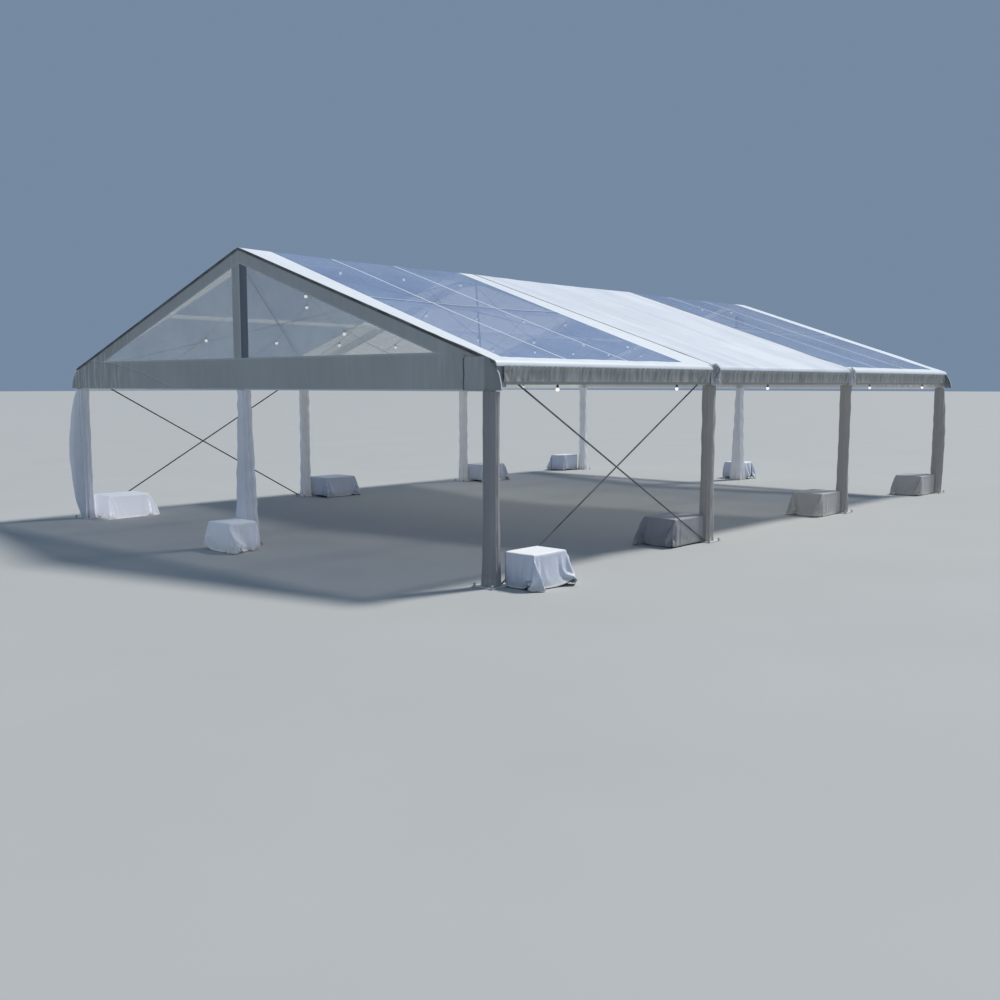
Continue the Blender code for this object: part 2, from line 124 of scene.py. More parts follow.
# The valances, corner flaps and ruffles
LEFT_VALANCE_EXTRA = 0.095
VALANCE_END_GAP = 0.09          # from the corner frame to the side valance's end
VALANCE_HEM = 0.042
FLAP_LENGTH = 0.46
FLAP_ROOT = SIDE_FACE - 0.04    # |x| of a flap's inner edge, less its length
FLAP_FOOT = GABLE_BOTTOM + 0.012
FLAP_TOP = 2.765
FLAP_EDGE = ((2.36, 2.44, 2.58, 2.74, 2.77), (5.235, 5.225, 5.180, 5.060, 5.025))   # z and its x
FLAP_STAND_OFF = 0.012          # a long flap's distance from the gable
CORD_RADIUS = 0.0055            # of their piping and lacing
RETURN_LENGTH = 0.20            # round the corner to the side
DISC_RADIUS = 0.068             # of the disc that closes the roof's roll
LACE_RING = 0.013
RUFFLE_HALF = 0.155
LOOP_CORD = 0.005               # radius of the loops at the joint rails' ends

# The cloths over legs and weights
COVER_THICKNESS = 0.0015
COVER_CLEAR = 0.0545            # the least distance from a leg's middle to its cloth
WEIGHT_THICKNESS = 0.002
CLOTH_GRID = 0.024              # between the points of a weight's cloth
CLOTH_SKIN = 0.008              # between that cloth and its block
CLOTH_FRAMES = 40
FLOOR_GAP = 0.0035              # from the floor to a weight's cloth
LEG_WIDTHS = (0.112, 0.100, 0.094, 0.092, 0.092, 0.094, 0.092)      # half widths from foot to head
POST_WIDTHS = (0.165, 0.150, 0.135, 0.122, 0.108, 0.098, 0.090)
BILLOWS = {"leg_cover_left_1": (-0.15, -0.10), "leg_cover_right_4": (0.05, 0.04)}

# The festoons
CABLE_DIAMETER = 0.008
SWAG_DEPTH = 0.55
SWAG_SHARES = (0.3, 0.65, 0.97)
CROSSING_SPACING = 1.4
CROSSINGS = {"front": (-5, -4, -3, -2), "middle": (-1, 0, 1), "rear": (2, 3, 4, 5)}
HOOK_INSET = 0.05
HOOK_DROP = 0.006
EAVE_SAG_DEPTH = 0.16
BULB_SPACING = 1.05
BULB_RADIUS = 0.025
HOOK_WIRE = 0.0022              # radius of the hooks' wire

# The fittings
PLATE_THICKNESS = 0.005
KNEE = (4.86, 0.085, 0.16, 0.36)    # down the slope, under the roof, and the plate's height and length
APEX = (0.36, 0.075, 0.12, 0.62)
BOLT_ROWS = ((-0.13, -0.05, 0.05, 0.13), (-0.0405, 0.0405))     # along a plate and across it
PEG_SPREAD = 0.145              # from a leg's middle to its pegs

# The studio and the camera, which was solved from the tent's own corners in the photograph
FLOOR = 380.0                   # half the floor's width
FLOOR_LEVEL = -0.002
SUN_TURN = (-33, 10, 0)
CAMERA_PLACE = (13.429, -16.816, 2.430)
CAMERA_TURN = (90 - 6.251, 0, 41.659)
CAMERA_LENS = 37.90


class Value:
    """A shader value whose operators add Math nodes."""

    def __init__(self, finish, socket):
        self.finish = finish
        self.socket = socket

    def math(self, operation, *others):
        return self.finish.math(operation, self, *others)

    def __add__(self, other):
        return self.math("ADD", other)

    __radd__ = __add__

    def __mul__(self, other):
        return self.math("MULTIPLY", other)

    __rmul__ = __mul__

    def __sub__(self, other):
        return self.math("SUBTRACT", other)

    def __rsub__(self, other):
        return self.finish.math("SUBTRACT", other, self)

    def __abs__(self):
        return self.math("ABSOLUTE")

    def sine(self):
        return self.math("SINE")

    def either(self, other):
        return self.math("MAXIMUM", other)

    def both(self, other):
        return self.math("MINIMUM", other)

    def above(self, edge, soft=0.004):
        """0 below the edge and 1 above it."""
        return self.finish.ramp(self, edge - soft, edge + soft)

    def below(self, edge, soft=0.004):
        return 1 - self.above(edge, soft)

    def near(self, place, half, soft=0.004):
        """1 within half a width of the place."""
        return abs(self - place).below(half, soft)


class Finish:
    """A material being made round one Principled BSDF."""

    def __init__(self, name, **sockets):
        self.material = bpy.data.materials.new(name)
        self.material.use_nodes = True
        self.tree = self.material.node_tree
        self.shader = self.tree.nodes["Principled BSDF"]
        for socket, value in sockets.items():
            self.set(socket.replace("_", " "), value)

    def put(self, socket, value):
        if isinstance(value, Value):
            value = value.socket
        if isinstance(value, bpy.types.NodeSocket):
            self.tree.links.new(value, socket)
        elif isinstance(value, tuple) and len(value) == 3 and len(socket.default_value) == 4:
            socket.default_value = (*value, 1.0)
        else:
            socket.default_value = value

    def set(self, name, value):
        self.put(self.shader.inputs[name], value)

    def node(self, kind, settings=None, sockets=None, output=0):
        """A node of that kind, its settings made first and its sockets filled after."""
        node = self.tree.nodes.new(kind)
        for name, value in (settings or {}).items():
            setattr(node, name, value)
        for name, value in (sockets or {}).items():
            self.put(node.inputs[name], value)
        return Value(self, node.outputs[output])

    def math(self, operation, *values):
        return self.node("ShaderNodeMath", {"operation": operation}, dict(enumerate(values)))

    def ramp(self, value, low, high):
        sockets = {"Value": value, "From Min": low, "From Max": high}
        return self.node("ShaderNodeMapRange", {"interpolation_type": "SMOOTHSTEP"}, sockets)

    def place(self):
        return self.node("ShaderNodeTexCoord", output="Object")

    def axes(self):
        vector = self.place()
        return [self.node("ShaderNodeSeparateXYZ", None, {0: vector}, i) for i in range(3)]

    def stretched(self, stretch):
        settings = {"operation": "MULTIPLY"}
        return self.node("ShaderNodeVectorMath", settings, {0: self.place(), 1: stretch})

    def facing(self, axis):
        """How far a face points along X, Y or Z."""
        normal = self.node("ShaderNodeNewGeometry", output="Normal")
        return self.node("ShaderNodeSeparateXYZ", None, {0: normal}, axis)

    def underside(self):
        return self.facing(2).below(-0.3, 0.1)

    def noise(self, scale, detail=2.0, stretch=(1.0, 1.0, 1.0)):
        sockets = {"Vector": self.stretched(stretch), "Scale": scale, "Detail": detail}
        return self.node("ShaderNodeTexNoise", None, sockets)

    def cells(self, scale, stretch=(1.0, 1.0, 1.0)):
        sockets = {"Vector": self.stretched(stretch), "Scale": scale}
        return self.node("ShaderNodeTexVoronoi", None, sockets)

    def mix(self, first, second, share):
        sockets = {0: share, 6: first, 7: second}
        return self.node("ShaderNodeMix", {"data_type": "RGBA"}, sockets, 2)

    def coats(self, colour, *layers):
        """A colour with others laid over it in turn, each by its own share."""
        for over, share in layers:
            colour = self.mix(colour, over, share)
        return colour

    def glow(self, colour, share):
        """Daylight of that colour that comes through where share is 1."""
        self.set("Emission Color", self.mix((0.0, 0.0, 0.0), colour, share))

    def dressed(self, colour, roughness, height):
        """The material with its colour, its roughness and its bumps."""
        self.set("Base Color", colour)
        self.set("Roughness", roughness)
        self.set("Normal", self.node("ShaderNodeBump", None, {"Height": height, "Distance": 1.0}))
        return self.material


def shade(colour, share, most=1.0):
    return tuple(min(share * c, most) for c in colour)


def weave(finish, spacing):
    """Two crossing sets of threads over the sheet, whichever way it faces."""
    x, y, z = finish.axes()
    turns = 2 * math.pi / spacing
    return ((x + y) * turns).sine() + ((z + y * 0.3) * turns).sine()


def soiling(finish, low=0.0, high=0.5):
    """1 at the ground and 0 above, with a ragged edge."""
    z = finish.axes()[2]
    ragged = z + finish.noise(9.0, 4.0) * 0.2 - 0.1
    return ragged.below((low + high) / 2, (high - low) / 2)


def coated_sheet(name, pale, puckers=(1.0, 1.0, 1.0), pucker_height=0.0, pulled_shade=0.1, dark=None,
                 soaked=0.0, overhead=False):
    """White coated sheet: faint cloth weave, washed-in dust, and puckers drawn along one way, their folds
    painted darker as shade by pulled_shade. dark gives the places painted darker as shade, where the sheet
    turns under, folds away or meets the next in a slit, and how dark they are; soaked is the daylight that
    comes through a single thin sheet, from below only where it is overhead."""
    finish = Finish(name, Specular_IOR_Level=0.45, Emission_Strength=soaked)
    if overhead:
        finish.glow((1.0, 0.97, 0.90), finish.underside())
    else:
        finish.set("Emission Color", (0.96, 1.0, 0.94))
    dust = finish.noise(0.9, 5.0).above(0.55, 0.18)
    streaks = finish.noise(7.0, 3.0, (1.0, 1.0, 0.12)).above(0.62, 0.14)
    layers = [(shade(pale, 0.86), dust * 0.5 + streaks * 0.3)]
    height = weave(finish, 0.005) * 0.00002 + finish.noise(1.6, 2.0) * 0.012
    if pucker_height:
        pulled = finish.noise(1.0, 2.0, puckers)
        height = height + pulled * pucker_height
        layers.append((shade(pale, 0.55), pulled.above(0.5, 0.2) * pulled_shade))
    if dark:
        place, share = dark
        # Painted shade at the places that dark gives.
        layers.append((shade(pale, share), place(*finish.axes())))
    return finish.dressed(finish.coats(pale, *layers), 0.36 + dust * 0.16, height)


def roof_film(name, low, high, welds):
    """Clear film between white borders: low and high are where the film starts and ends along the
    ridge, welds where its strips are joined, each given at the ridge and at the film's foot."""
    finish = Finish(name, Specular_IOR_Level=0.35, Emission_Strength=0.17)
    x, y, _ = finish.axes()
    after = [y - (abs(x) * ((foot - head) / FILM_FOOT) + head) for head, foot in (low, high, *welds)]
    film = after[0].above(0.0).both(after[1].below(0.0)).both(abs(x).below(FILM_FOOT))
    edge, weld = (first.near(0.0, half).either(second.near(0.0, half)) for first, second, half in
                  ((*after[:2], FILM_EDGE_HALF), (*after[2:], FILM_WELD_HALF)))
    haze = finish.noise(0.8, 4.0).above(0.5, 0.25)
    crease = finish.noise(2.2, 3.0, (0.25, 2.4, 0.25)).near(0.5, 0.01, 0.012)
    # Painted light and shadow: a pale line where the film lies over each mid purlin, and a darker band of
    # painted shadow beside it, further down the slope.
    purlin_highlight = abs(x).near(MID_PURLIN - 0.02, 0.014, 0.006)
    shadow = abs(x).near(MID_PURLIN + 0.03, 0.030, 0.010)
    # The film's blue is a painted reflection of the sky; the film itself is colourless.
    painted_sky_tint = finish.coats((0.30, 0.41, 0.66), ((0.38, 0.49, 0.73), haze),
                        ((0.72, 0.79, 0.93), (crease * 0.12).either(purlin_highlight)),
                        ((0.15, 0.21, 0.35), shadow * 0.75))
    dust = finish.noise(5.0, 4.0).above(0.6, 0.2)
    white = finish.mix((0.84, 0.88, 0.91), (0.76, 0.81, 0.85), dust * 0.6)
    solid = (1 - film).either(weld * 0.9)
    seen = 0.49 + haze * 0.05 + crease * 0.04 + (purlin_highlight + shadow) * 0.2
    finish.set("Alpha", seen.either(solid))
    finish.glow((1.0, 0.97, 0.90), finish.underside().both(1 - film))
    ripples = finish.noise(1.4, 3.0, (0.5, 1.6, 0.5)) * 0.014 + finish.noise(9.0, 2.0) * 0.0008
    return finish.dressed(finish.mix(painted_sky_tint, white, solid), 0.10 + haze * 0.08 + solid * 0.28,
                          ripples + weld * 0.0015 + edge * 0.001)


def gable_film(name, side, pale, soaked):
    """A gable's white bands round two clear windows; side turns the pattern for the rear gable, and
    soaked is the daylight that comes through its bands from outside."""
    finish = Finish(name, Specular_IOR_Level=0.4, Emission_Strength=soaked)
    x, _, z = finish.axes()
    x = x * side
    under_roof = z + abs(x) * TAN - RIDGE
    window = z.above(WINDOW_FOOT).both(under_roof.below(-WINDOW_HEAD))
    window = window.both(1 - x.near(STRIP_PLACE, STRIP_HALF))
    beyond_foot = z.above(WINDOW_FOOT - WINDOW_WELD)
    foot_weld = z.near(WINDOW_FOOT - WINDOW_WELD / 2, 0.010).both(under_roof.below(WINDOW_WELD - WINDOW_HEAD))
    head_weld = under_roof.near(WINDOW_WELD / 2 - WINDOW_HEAD, 0.010).both(beyond_foot)
    strip_weld = abs(x - STRIP_PLACE).near(STRIP_HALF - 0.01, 0.008).both(beyond_foot)
    weld = foot_weld.either(head_weld).either(strip_weld)
    from_top = x - SLACK_TOP[0]
    slack_line = z + from_top * from_top * SLACK_BEND - SLACK_TOP[1]
    slack = x.below(SLACK_ENDS[1]).both(x.above(SLACK_ENDS[0]))
    hem = z.below(GABLE_BOTTOM + 0.022)
    # Painted shade: the film is darkened where the post stands in shade behind it.
    post = x.near(POST_PLACE, POST_HALF).both(window)
    dust = finish.noise(1.1, 5.0).above(0.52, 0.2)
    streaks = finish.noise(6.0, 3.0, (2.2, 1.0, 0.2)).above(0.58, 0.2)
    pulled = finish.noise(1.0, 3.0, (16.0, 4.0, 1.6))
    gathered = x.below(-3.5, 0.9).either(abs(x).above(4.2, 0.8) * 0.4)
    # The gathered pleats and the slack fold are painted: shade in darker streaks and lines, highlights in
    # lighter ones beside them.
    light = shade(pale, 1.40, 0.9)
    white = finish.coats(pale, (shade(pale, 0.84), dust * 0.5 + streaks * 0.4),
                         (shade(pale, 0.59), pulled.above(0.52, 0.10) * gathered * 0.55),
                         (light, pulled.below(0.42, 0.08) * gathered * 0.6),
                         (shade(pale, 0.48), slack_line.near(0.0, 0.007).both(slack) * 0.55),
                         (light, slack_line.near(0.016, 0.006).both(slack) * 0.5),
                         (shade(pale, 1.50, 0.9), (weld * 0.3).either(hem)))
    clear = finish.coats((0.88, 0.91, 0.88), ((0.94, 0.96, 0.93), dust), ((0.155, 0.17, 0.21), post))
    finish.set("Alpha", 1 - window * (0.70 - dust * 0.08 - post * 0.40))
    inner = finish.facing(1) * side
    finish.glow((1.0, 0.98, 0.86), inner.above(0.3, 0.1).both(1 - window))
    puckers = pulled * (0.002 + gathered * 0.020)
    folds = finish.noise(1.3, 2.0, (1.6, 1.0, 0.8)) * 0.02
    height = weave(finish, 0.005) * 0.00002 + puckers + folds + weld * 0.001 + hem * 0.002
    return finish.dressed(finish.mix(white, clear, window), 0.42 - window * 0.30 + dust * 0.06, height)


def draped_cloth(name, pale, sheen, soaked=0.0, lit_from=-5.0, glow=(1.0, 0.98, 0.75), painted_top_light=0.0):
    """White cloth: fine weave, soft crumples, and dusty marks along its hem. soaked is the daylight
    that comes through it beyond a place along the tent, glow that light's colour, and the last argument
    how white its faces that point up are painted: a painted highlight of the light from above."""
    finish = Finish(name, Sheen_Weight=sheen, Sheen_Roughness=0.4, Emission_Strength=soaked)
    if soaked:
        finish.glow(glow, finish.axes()[1].above(lit_from, 1.0))
    marks = soiling(finish, 0.0, 0.16)
    patches = finish.noise(3.0, 4.0).above(0.5, 0.25)
    layers = [(pale, patches)]
    if painted_top_light:
        # Painted light: faces that point up are painted whiter.
        layers.append(((painted_top_light, painted_top_light, painted_top_light), finish.facing(2).above(0.75, 0.15)))
    layers.append(((0.52, 0.52, 0.44), marks * (0.25 + finish.noise(22.0, 4.0) * 0.5)))
    crumples = finish.noise(7.0, 3.0, (1.0, 1.0, 0.45)) * 0.006
    return finish.dressed(finish.coats(shade(pale, 0.93), *layers), 0.62 + patches * 0.12,
                          weave(finish, 0.003) * 0.00003 + crumples)


def extruded_aluminium(name, along, pale=1.0, metallic=0.3, lit=0.0):
    """Pale anodised extrusion: die lines along its length, dull patches and small knocks. lit is the
    sunlight that reaches it through the film."""
    finish = Finish(name, Metallic=metallic, Emission_Strength=lit)
    lines = finish.noise(1.0, 3.0, tuple(0.6 if i == along else 42.0 for i in range(3)))
    patches = finish.noise(1.7, 4.0).above(0.5, 0.2)
    knocks = finish.cells(14.0).below(0.05, 0.03)
    grey = finish.coats(shade((0.66, 0.67, 0.69), pale), (shade((0.80, 0.81, 0.82), pale), lines),
                        (shade((0.52, 0.53, 0.54), pale), patches * 0.3 + knocks * 0.3))
    finish.set("Emission Color", grey)
    return finish.dressed(grey, 0.30 + lines * 0.14 + patches * 0.14, lines * 0.0006 - knocks * 0.0006)


def galvanised(name):
    """Zinc-coated steel: crystals of slightly different greys, and rust where it stands in the wet."""
    finish = Finish(name)
    crystals = finish.cells(70.0)
    rust = soiling(finish, -0.02, 0.03) * finish.noise(60.0, 4.0).above(0.5, 0.12)
    grey = finish.coats((0.44, 0.45, 0.47), ((0.62, 0.63, 0.65), crystals), ((0.30, 0.16, 0.08), rust))
    finish.set("Metallic", 0.85 - rust * 0.8)
    return finish.dressed(grey, 0.36 + crystals * 0.18 + rust * 0.3, crystals * 0.0004 + rust * 0.0006)


def dark_strap(name):
    """Dark strap: threads across it and dusty edges."""
    finish = Finish(name, Metallic=0.1)
    x, y, z = finish.axes()
    threads = ((y + z * 0.7 + x * 0.7) * 900.0).sine()
    dust = finish.noise(4.0, 4.0).above(0.5, 0.2)
    colour = finish.mix((0.055, 0.057, 0.065), (0.16, 0.16, 0.17), dust)
    return finish.dressed(colour, 0.55 + dust * 0.2, threads * 0.0004)


def cable_rubber(name):
    """Black rubber, dusty in places."""
    finish = Finish(name)
    dust = finish.noise(11.0, 3.0).above(0.5, 0.2)
    colour = finish.mix((0.018, 0.018, 0.02), (0.07, 0.07, 0.07), dust)
    return finish.dressed(colour, 0.45 + dust * 0.2, finish.noise(160.0, 1.0) * 0.0004)


def opal_glass(name):
    """Opal lamp glass, a little whiter and rougher in places, with a faint light of its own."""
    finish = Finish(name, Coat_Weight=0.6, Emission_Strength=0.9, Emission_Color=(1.0, 0.96, 0.88))
    cloud = finish.noise(60.0, 2.0)
    finish.set("Base Color", finish.mix((0.93, 0.93, 0.92), (0.99, 0.98, 0.95), cloud))
    finish.set("Roughness", 0.08 + cloud * 0.1)
    return finish.material


def quads(index):
    """The four-cornered faces between a grid's points, as rows of point numbers."""
    around = (index[:-1, :-1], index[1:, :-1], index[1:, 1:], index[:-1, 1:])
    return np.stack(around, -1).reshape(-1, 4)


def unit(vectors):
    return vectors / np.maximum(np.linalg.norm(vectors, axis=-1, keepdims=True), 1e-12)


def grid_over(first, second):
    return np.meshgrid(first, second, indexing="ij")


def placed(name, points, faces):
    """A new object of those points and faces."""
    mesh = bpy.data.meshes.new(name)
    mesh.from_pydata(np.asarray(points).tolist(), [], np.asarray(faces).tolist())
    ob = bpy.data.objects.new(name, mesh)
    bpy.context.scene.collection.objects.link(ob)
    return ob


def carried(ob, material, replaces=()):
    """Makes an object a piece of the tent, riding on its one body."""
    ob.data.materials.append(material)
    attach(ob, "root")
    if replaces:
        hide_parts(*replaces)
    return ob


class Piece:
    """Grids of points gathered into one mesh."""

    def __init__(self):
        self.points = []
        self.faces = []
        self.count = 0

    def add(self, points, faces):
        points = points.reshape(-1, 3)
        self.points.append(points)
        self.faces.append(faces + self.count)
        self.count += len(points)

    def grid(self, points, flip=False):
        """One grid or a stack of them. Faces point along the first way crossed with the second."""
        rows, columns = points.shape[-3:-1]
        stack = points.reshape(-1, rows * columns, 3)
        faces = quads(np.arange(rows * columns).reshape(rows, columns))
        if flip:
            faces = faces[:, ::-1]
        shifts = np.arange(len(stack))[:, None, None] * (rows * columns)
        self.add(stack, (faces[None] + shifts).reshape(-1, 4))
        return self

    def shell(self, points, thickness, closed=False, toward=None):
        """A grid, the same grid set inwards by the thickness, and the rim between them. A closed
        one meets itself along its second way. toward is the way that its outer side must face."""
        rows, columns = points.shape[:2]
        along = np.gradient(points, axis=0)
        across = np.gradient(points, axis=1)
        if closed:
            across[:, 0] = across[:, -1] = (points[:, 1] - points[:, -2]) / 2
        normals = unit(np.cross(along, across))
        if toward is not None and normals.sum((0, 1)) @ toward < 0:
            points, normals = points[::-1], -normals[::-1]
        outer = np.arange(rows * columns).reshape(rows, columns)
        inner = outer + rows * columns
        sides = [outer[:, 0], outer[-1, :], outer[::-1, -1], outer[0, ::-1]]
        if closed:
            sides = [sides[1], sides[3]]
        rims = [quads(np.stack((side, side + rows * columns))) for side in sides]
        faces = np.concatenate([quads(outer), quads(inner)[:, ::-1], *rims])
        self.add(np.concatenate([points, points - normals * thickness]), faces)
        return self

    def make(self, name, material, slot=None, replaces=(), sharp=40):
        """The piece, its doubled points merged."""
        ob = placed(name, np.concatenate(self.points), np.concatenate(self.faces))
        work = bmesh.new()
        work.from_mesh(ob.data)
        bmesh.ops.remove_doubles(work, verts=work.verts, dist=2e-5)
        work.to_mesh(ob.data)
        work.free()
        ob.data.shade_smooth()
        ob.data.set_sharp_from_angle(angle=math.radians(sharp))
        return carried(ob, material, replaces)


def waves(seed, u, v, count, u_range, v_range):
    """A smooth uneven pattern of size about 1: a sum of sines whose directions, lengths and phases
    come from the seed. The ranges are in waves per unit of u and v."""
    pick = np.random.default_rng(seed)
    total = 0.0
    for _ in range(count):
        a = pick.uniform(*u_range)
        b = pick.uniform(*v_range) * pick.choice((-1, 1))
        total = total + np.sin(2 * math.pi * (a * u + b * v) + pick.uniform(0, 2 * math.pi))
    return total / math.sqrt(count)


def ease(t):
    """0 below 0, 1 above 1, and a smooth step between."""
    t = np.clip(t, 0, 1)
    return t * t * (3 - 2 * t)


def section(s, lift=0.0):
    """Across the tent: s is the distance from the ridge along the sheet, negative on the left. The
    sheet goes down the slope, rolls round the eave beam and a little under it, and hangs straight
    down from there. lift is how far the point stands off the sheet. Returns x and z."""
    side = np.where(s < 0, -1.0, 1.0)
    s = np.abs(s)
    tilt = PITCH + np.clip((s - SLOPE_END) / EAVE_RADIUS, 0, ROLL_TILT - PITCH)
    slope = np.minimum(s, SLOPE_END)
    rounded = np.sqrt(slope ** 2 + RIDGE_RADIUS ** 2)
    hang = np.maximum(s - BEND_END, 0)
    facing = tilt - (ROLL_TILT - math.pi / 2) * ease(hang / 0.02)
    x = slope * COS + EAVE_RADIUS * (np.sin(tilt) - SIN) + lift * np.sin(facing)
    z = RIDGE - rounded * SIN - EAVE_RADIUS * (COS - np.cos(tilt)) - hang + lift * np.cos(facing)
    return side * x, z


def on_tent(s, y, lift):
    x, z = section(s, lift)
    return np.stack([x, y + 0 * x, z], -1)


def roof_lift(bay, s, y):
    """The sheet hangs between its frames, and not at all where it rolls over the eaves; faint ripples
    run down the slope, and creases fan out from the frames' ends at the eaves."""
    t = np.clip((y - FRAMES[bay]) / (FRAMES[bay + 1] - FRAMES[bay]), 0, 1)
    between = np.sin(math.pi * t)
    across = np.abs(s) / SLOPE_END
    ridge_hang = RIDGE_SAG * np.exp(-(across / 0.12) ** 2)
    hang = ridge_hang + BAY_SAG * np.sin(math.pi * np.clip(across, 0, 1)) ** 0.8
    ripples = waves(40 + bay, y, s, 6, (0.5, 1.6), (0.02, 0.16)) * 0.0025 * between
    edge = ease((across - 0.55) / 0.45)
    fans = waves(50 + bay, y, s, 5, (2.0, 5.0), (0.3, 1.0)) * 0.0045 * edge * (1 - between) ** 2
    return (ripples + fans - hang * between) * ease((SLOPE_END + 0.03 - np.abs(s)) / 0.16)


def roof_bay(name, bay, node, material, slot):
    """One bay's sheet from roll to roll, with more rows at the ridge and the eaves."""
    low = -GABLE_FACE if bay == 0 else FRAMES[bay] + JOINT_HALF
    high = GABLE_FACE if bay == 2 else FRAMES[bay + 1] - JOINT_HALF
    slope = np.linspace(0.25, SLOPE_END - 0.06, 42)
    roll = np.linspace(SLOPE_END - 0.02, VALANCE_START + 0.008, 13)
    half = np.concatenate([np.linspace(0, 0.15, 6), slope, roll])
    s = np.concatenate([-half[:0:-1], half])
    s, y = grid_over(s, np.linspace(low, high, 91))
    points = on_tent(s, y, roof_lift(bay, s, y))
    ob = Piece().shell(points, SHEET_THICKNESS, toward=(0, 0, 1)).make(name, material, slot, [node])
    2 * VALANCE_START
    high - low


def side_valance(side):
    """One strip a bay down each eave. It hangs from under the roof's roll and leans in a little; it is
    puckered below its weld, hangs in slow waves, and its hem turns in over a cord."""
    word = SIDES[side]
    bottom = VALANCE_BOTTOM + (0.010 if side > 0 else -LEFT_VALANCE_EXTRA)
    drop = BEND_END - VALANCE_START + HANG_TOP - bottom
    hem_share = VALANCE_HEM / drop
    material = NEAR_VALANCE if side > 0 else FAR_VALANCE
    for bay in range(3):
        low = FRAMES[bay] + (VALANCE_END_GAP if bay == 0 else 0.02)
        high = FRAMES[bay + 1] - (VALANCE_END_GAP if bay == 2 else 0.02)
        t = np.concatenate([np.linspace(0, 1 - hem_share, 13)[:-1], np.linspace(1 - hem_share, 1, 5)])
        t, y = grid_over(t, np.linspace(low, high, 421))
        seed = 60 + bay + (10 if side > 0 else 0)
        end = np.minimum(y - low, high - y)
        body = np.clip(t / (1 - hem_share), 0, 1)
        slant = y + 0.12 * body * waves(seed + 2, y, 0 * t, 3, (0.1, 0.5), (0, 0.1))
        pucker = waves(seed, slant, t, 8, (7.0, 15.0), (0.1, 0.6)) * 0.0042 * np.sin(math.pi * body ** 0.55)
        broad = waves(seed + 7, slant, t, 5, (1.4, 4.0), (0.2, 0.9)) * 0.017 * np.exp(-end / 0.45)
        gather = 0.40 + 1.6 * np.exp(-end / 0.35) + 0.5 * waves(seed + 3, y, t, 3, (0.2, 0.5), (0, 0.1)) ** 2
        swing = waves(seed + 5, y, t, 4, (0.25, 0.9), (0.0, 0.2)) * 0.007 * t ** 1.5
        curl = 0.022 * np.exp(-end / 0.014) * ease(t / 0.35)
        cord = 0.004 * np.exp(-((t - 1 + hem_share) / 0.018) ** 2)
        hem = -0.60 * VALANCE_HEM * np.clip((t - 1) / hem_share + 1, 0, 1)
        lean = -0.016 * body
        held = ease((t * drop - 0.006) / 0.02)
        lift = (pucker * gather + broad * body) * held + swing + curl + cord + hem + lean
        points = on_tent((VALANCE_START + drop * t) * side, y, lift + 0.0006)
        nodes = [f"valance_{word}"] if bay == 1 else []
        piece = Piece().shell(points, SHEET_THICKNESS, toward=(side, 0, 0))
        ob = piece.make(f"valance_strip_{word}_{bay + 1}", material, "white_sheet", nodes)
        high - low


def gable_edges(x, end):
    """The heights of a gable sheet's hem and of its upper edge under the roof."""
    return (GABLE_BOTTOM - (REAR_HANG if end > 0 else 0.0),
            RIDGE - np.sqrt(x ** 2 + RIDGE_RADIUS ** 2) * TAN - GABLE_GAP)


def gable_depth(x, t, end):
    """How far the gable sheet stands out at x across it and t up it: it bellies a little between the
    frame's members, gathers in folds at its corners, and its lower edge swings in slow waves."""
    belly = np.sin(math.pi * np.clip(np.abs(x) / HALF, 0, 1)) * np.sin(math.pi * t) * 0.012
    swing = waves(71 + end, x, t, 5, (0.15, 0.7), (0.1, 0.6)) * 0.007 * (1 - t) ** 1.5
    corner = ease((np.abs(x) - 3.6) / 1.4)
    folds = waves(75 + end, x, t, 6, (4.0, 9.0), (0.1, 0.5)) * 0.0065 * corner * (1 - 0.5 * t)
    return belly + folds + swing


def gable_sheet(end):
    """The whole gable above the opening: x goes across and t from its hem to the roof."""
    word = ENDS[end]
    half = SIDE_FACE - 0.012
    x, t = grid_over(np.linspace(-half, half, 341), np.linspace(0, 1, 27))
    bottom, top = gable_edges(x, end)
    z = bottom + (top - bottom) * t
    y = end * (GABLE_FACE - 0.002 + gable_depth(x, t, end))
    piece = Piece().shell(np.stack([x, y, z], -1), SHEET_THICKNESS, toward=(0, end, 0))
    ob = piece.make(f"gable_{word}", GABLE_FILM[end], "white_sheet", [f"gable_sheet_{word}"])
    area = 2 * half * (HANG_TOP - GABLE_BOTTOM) + half * half * TAN
    2 * half


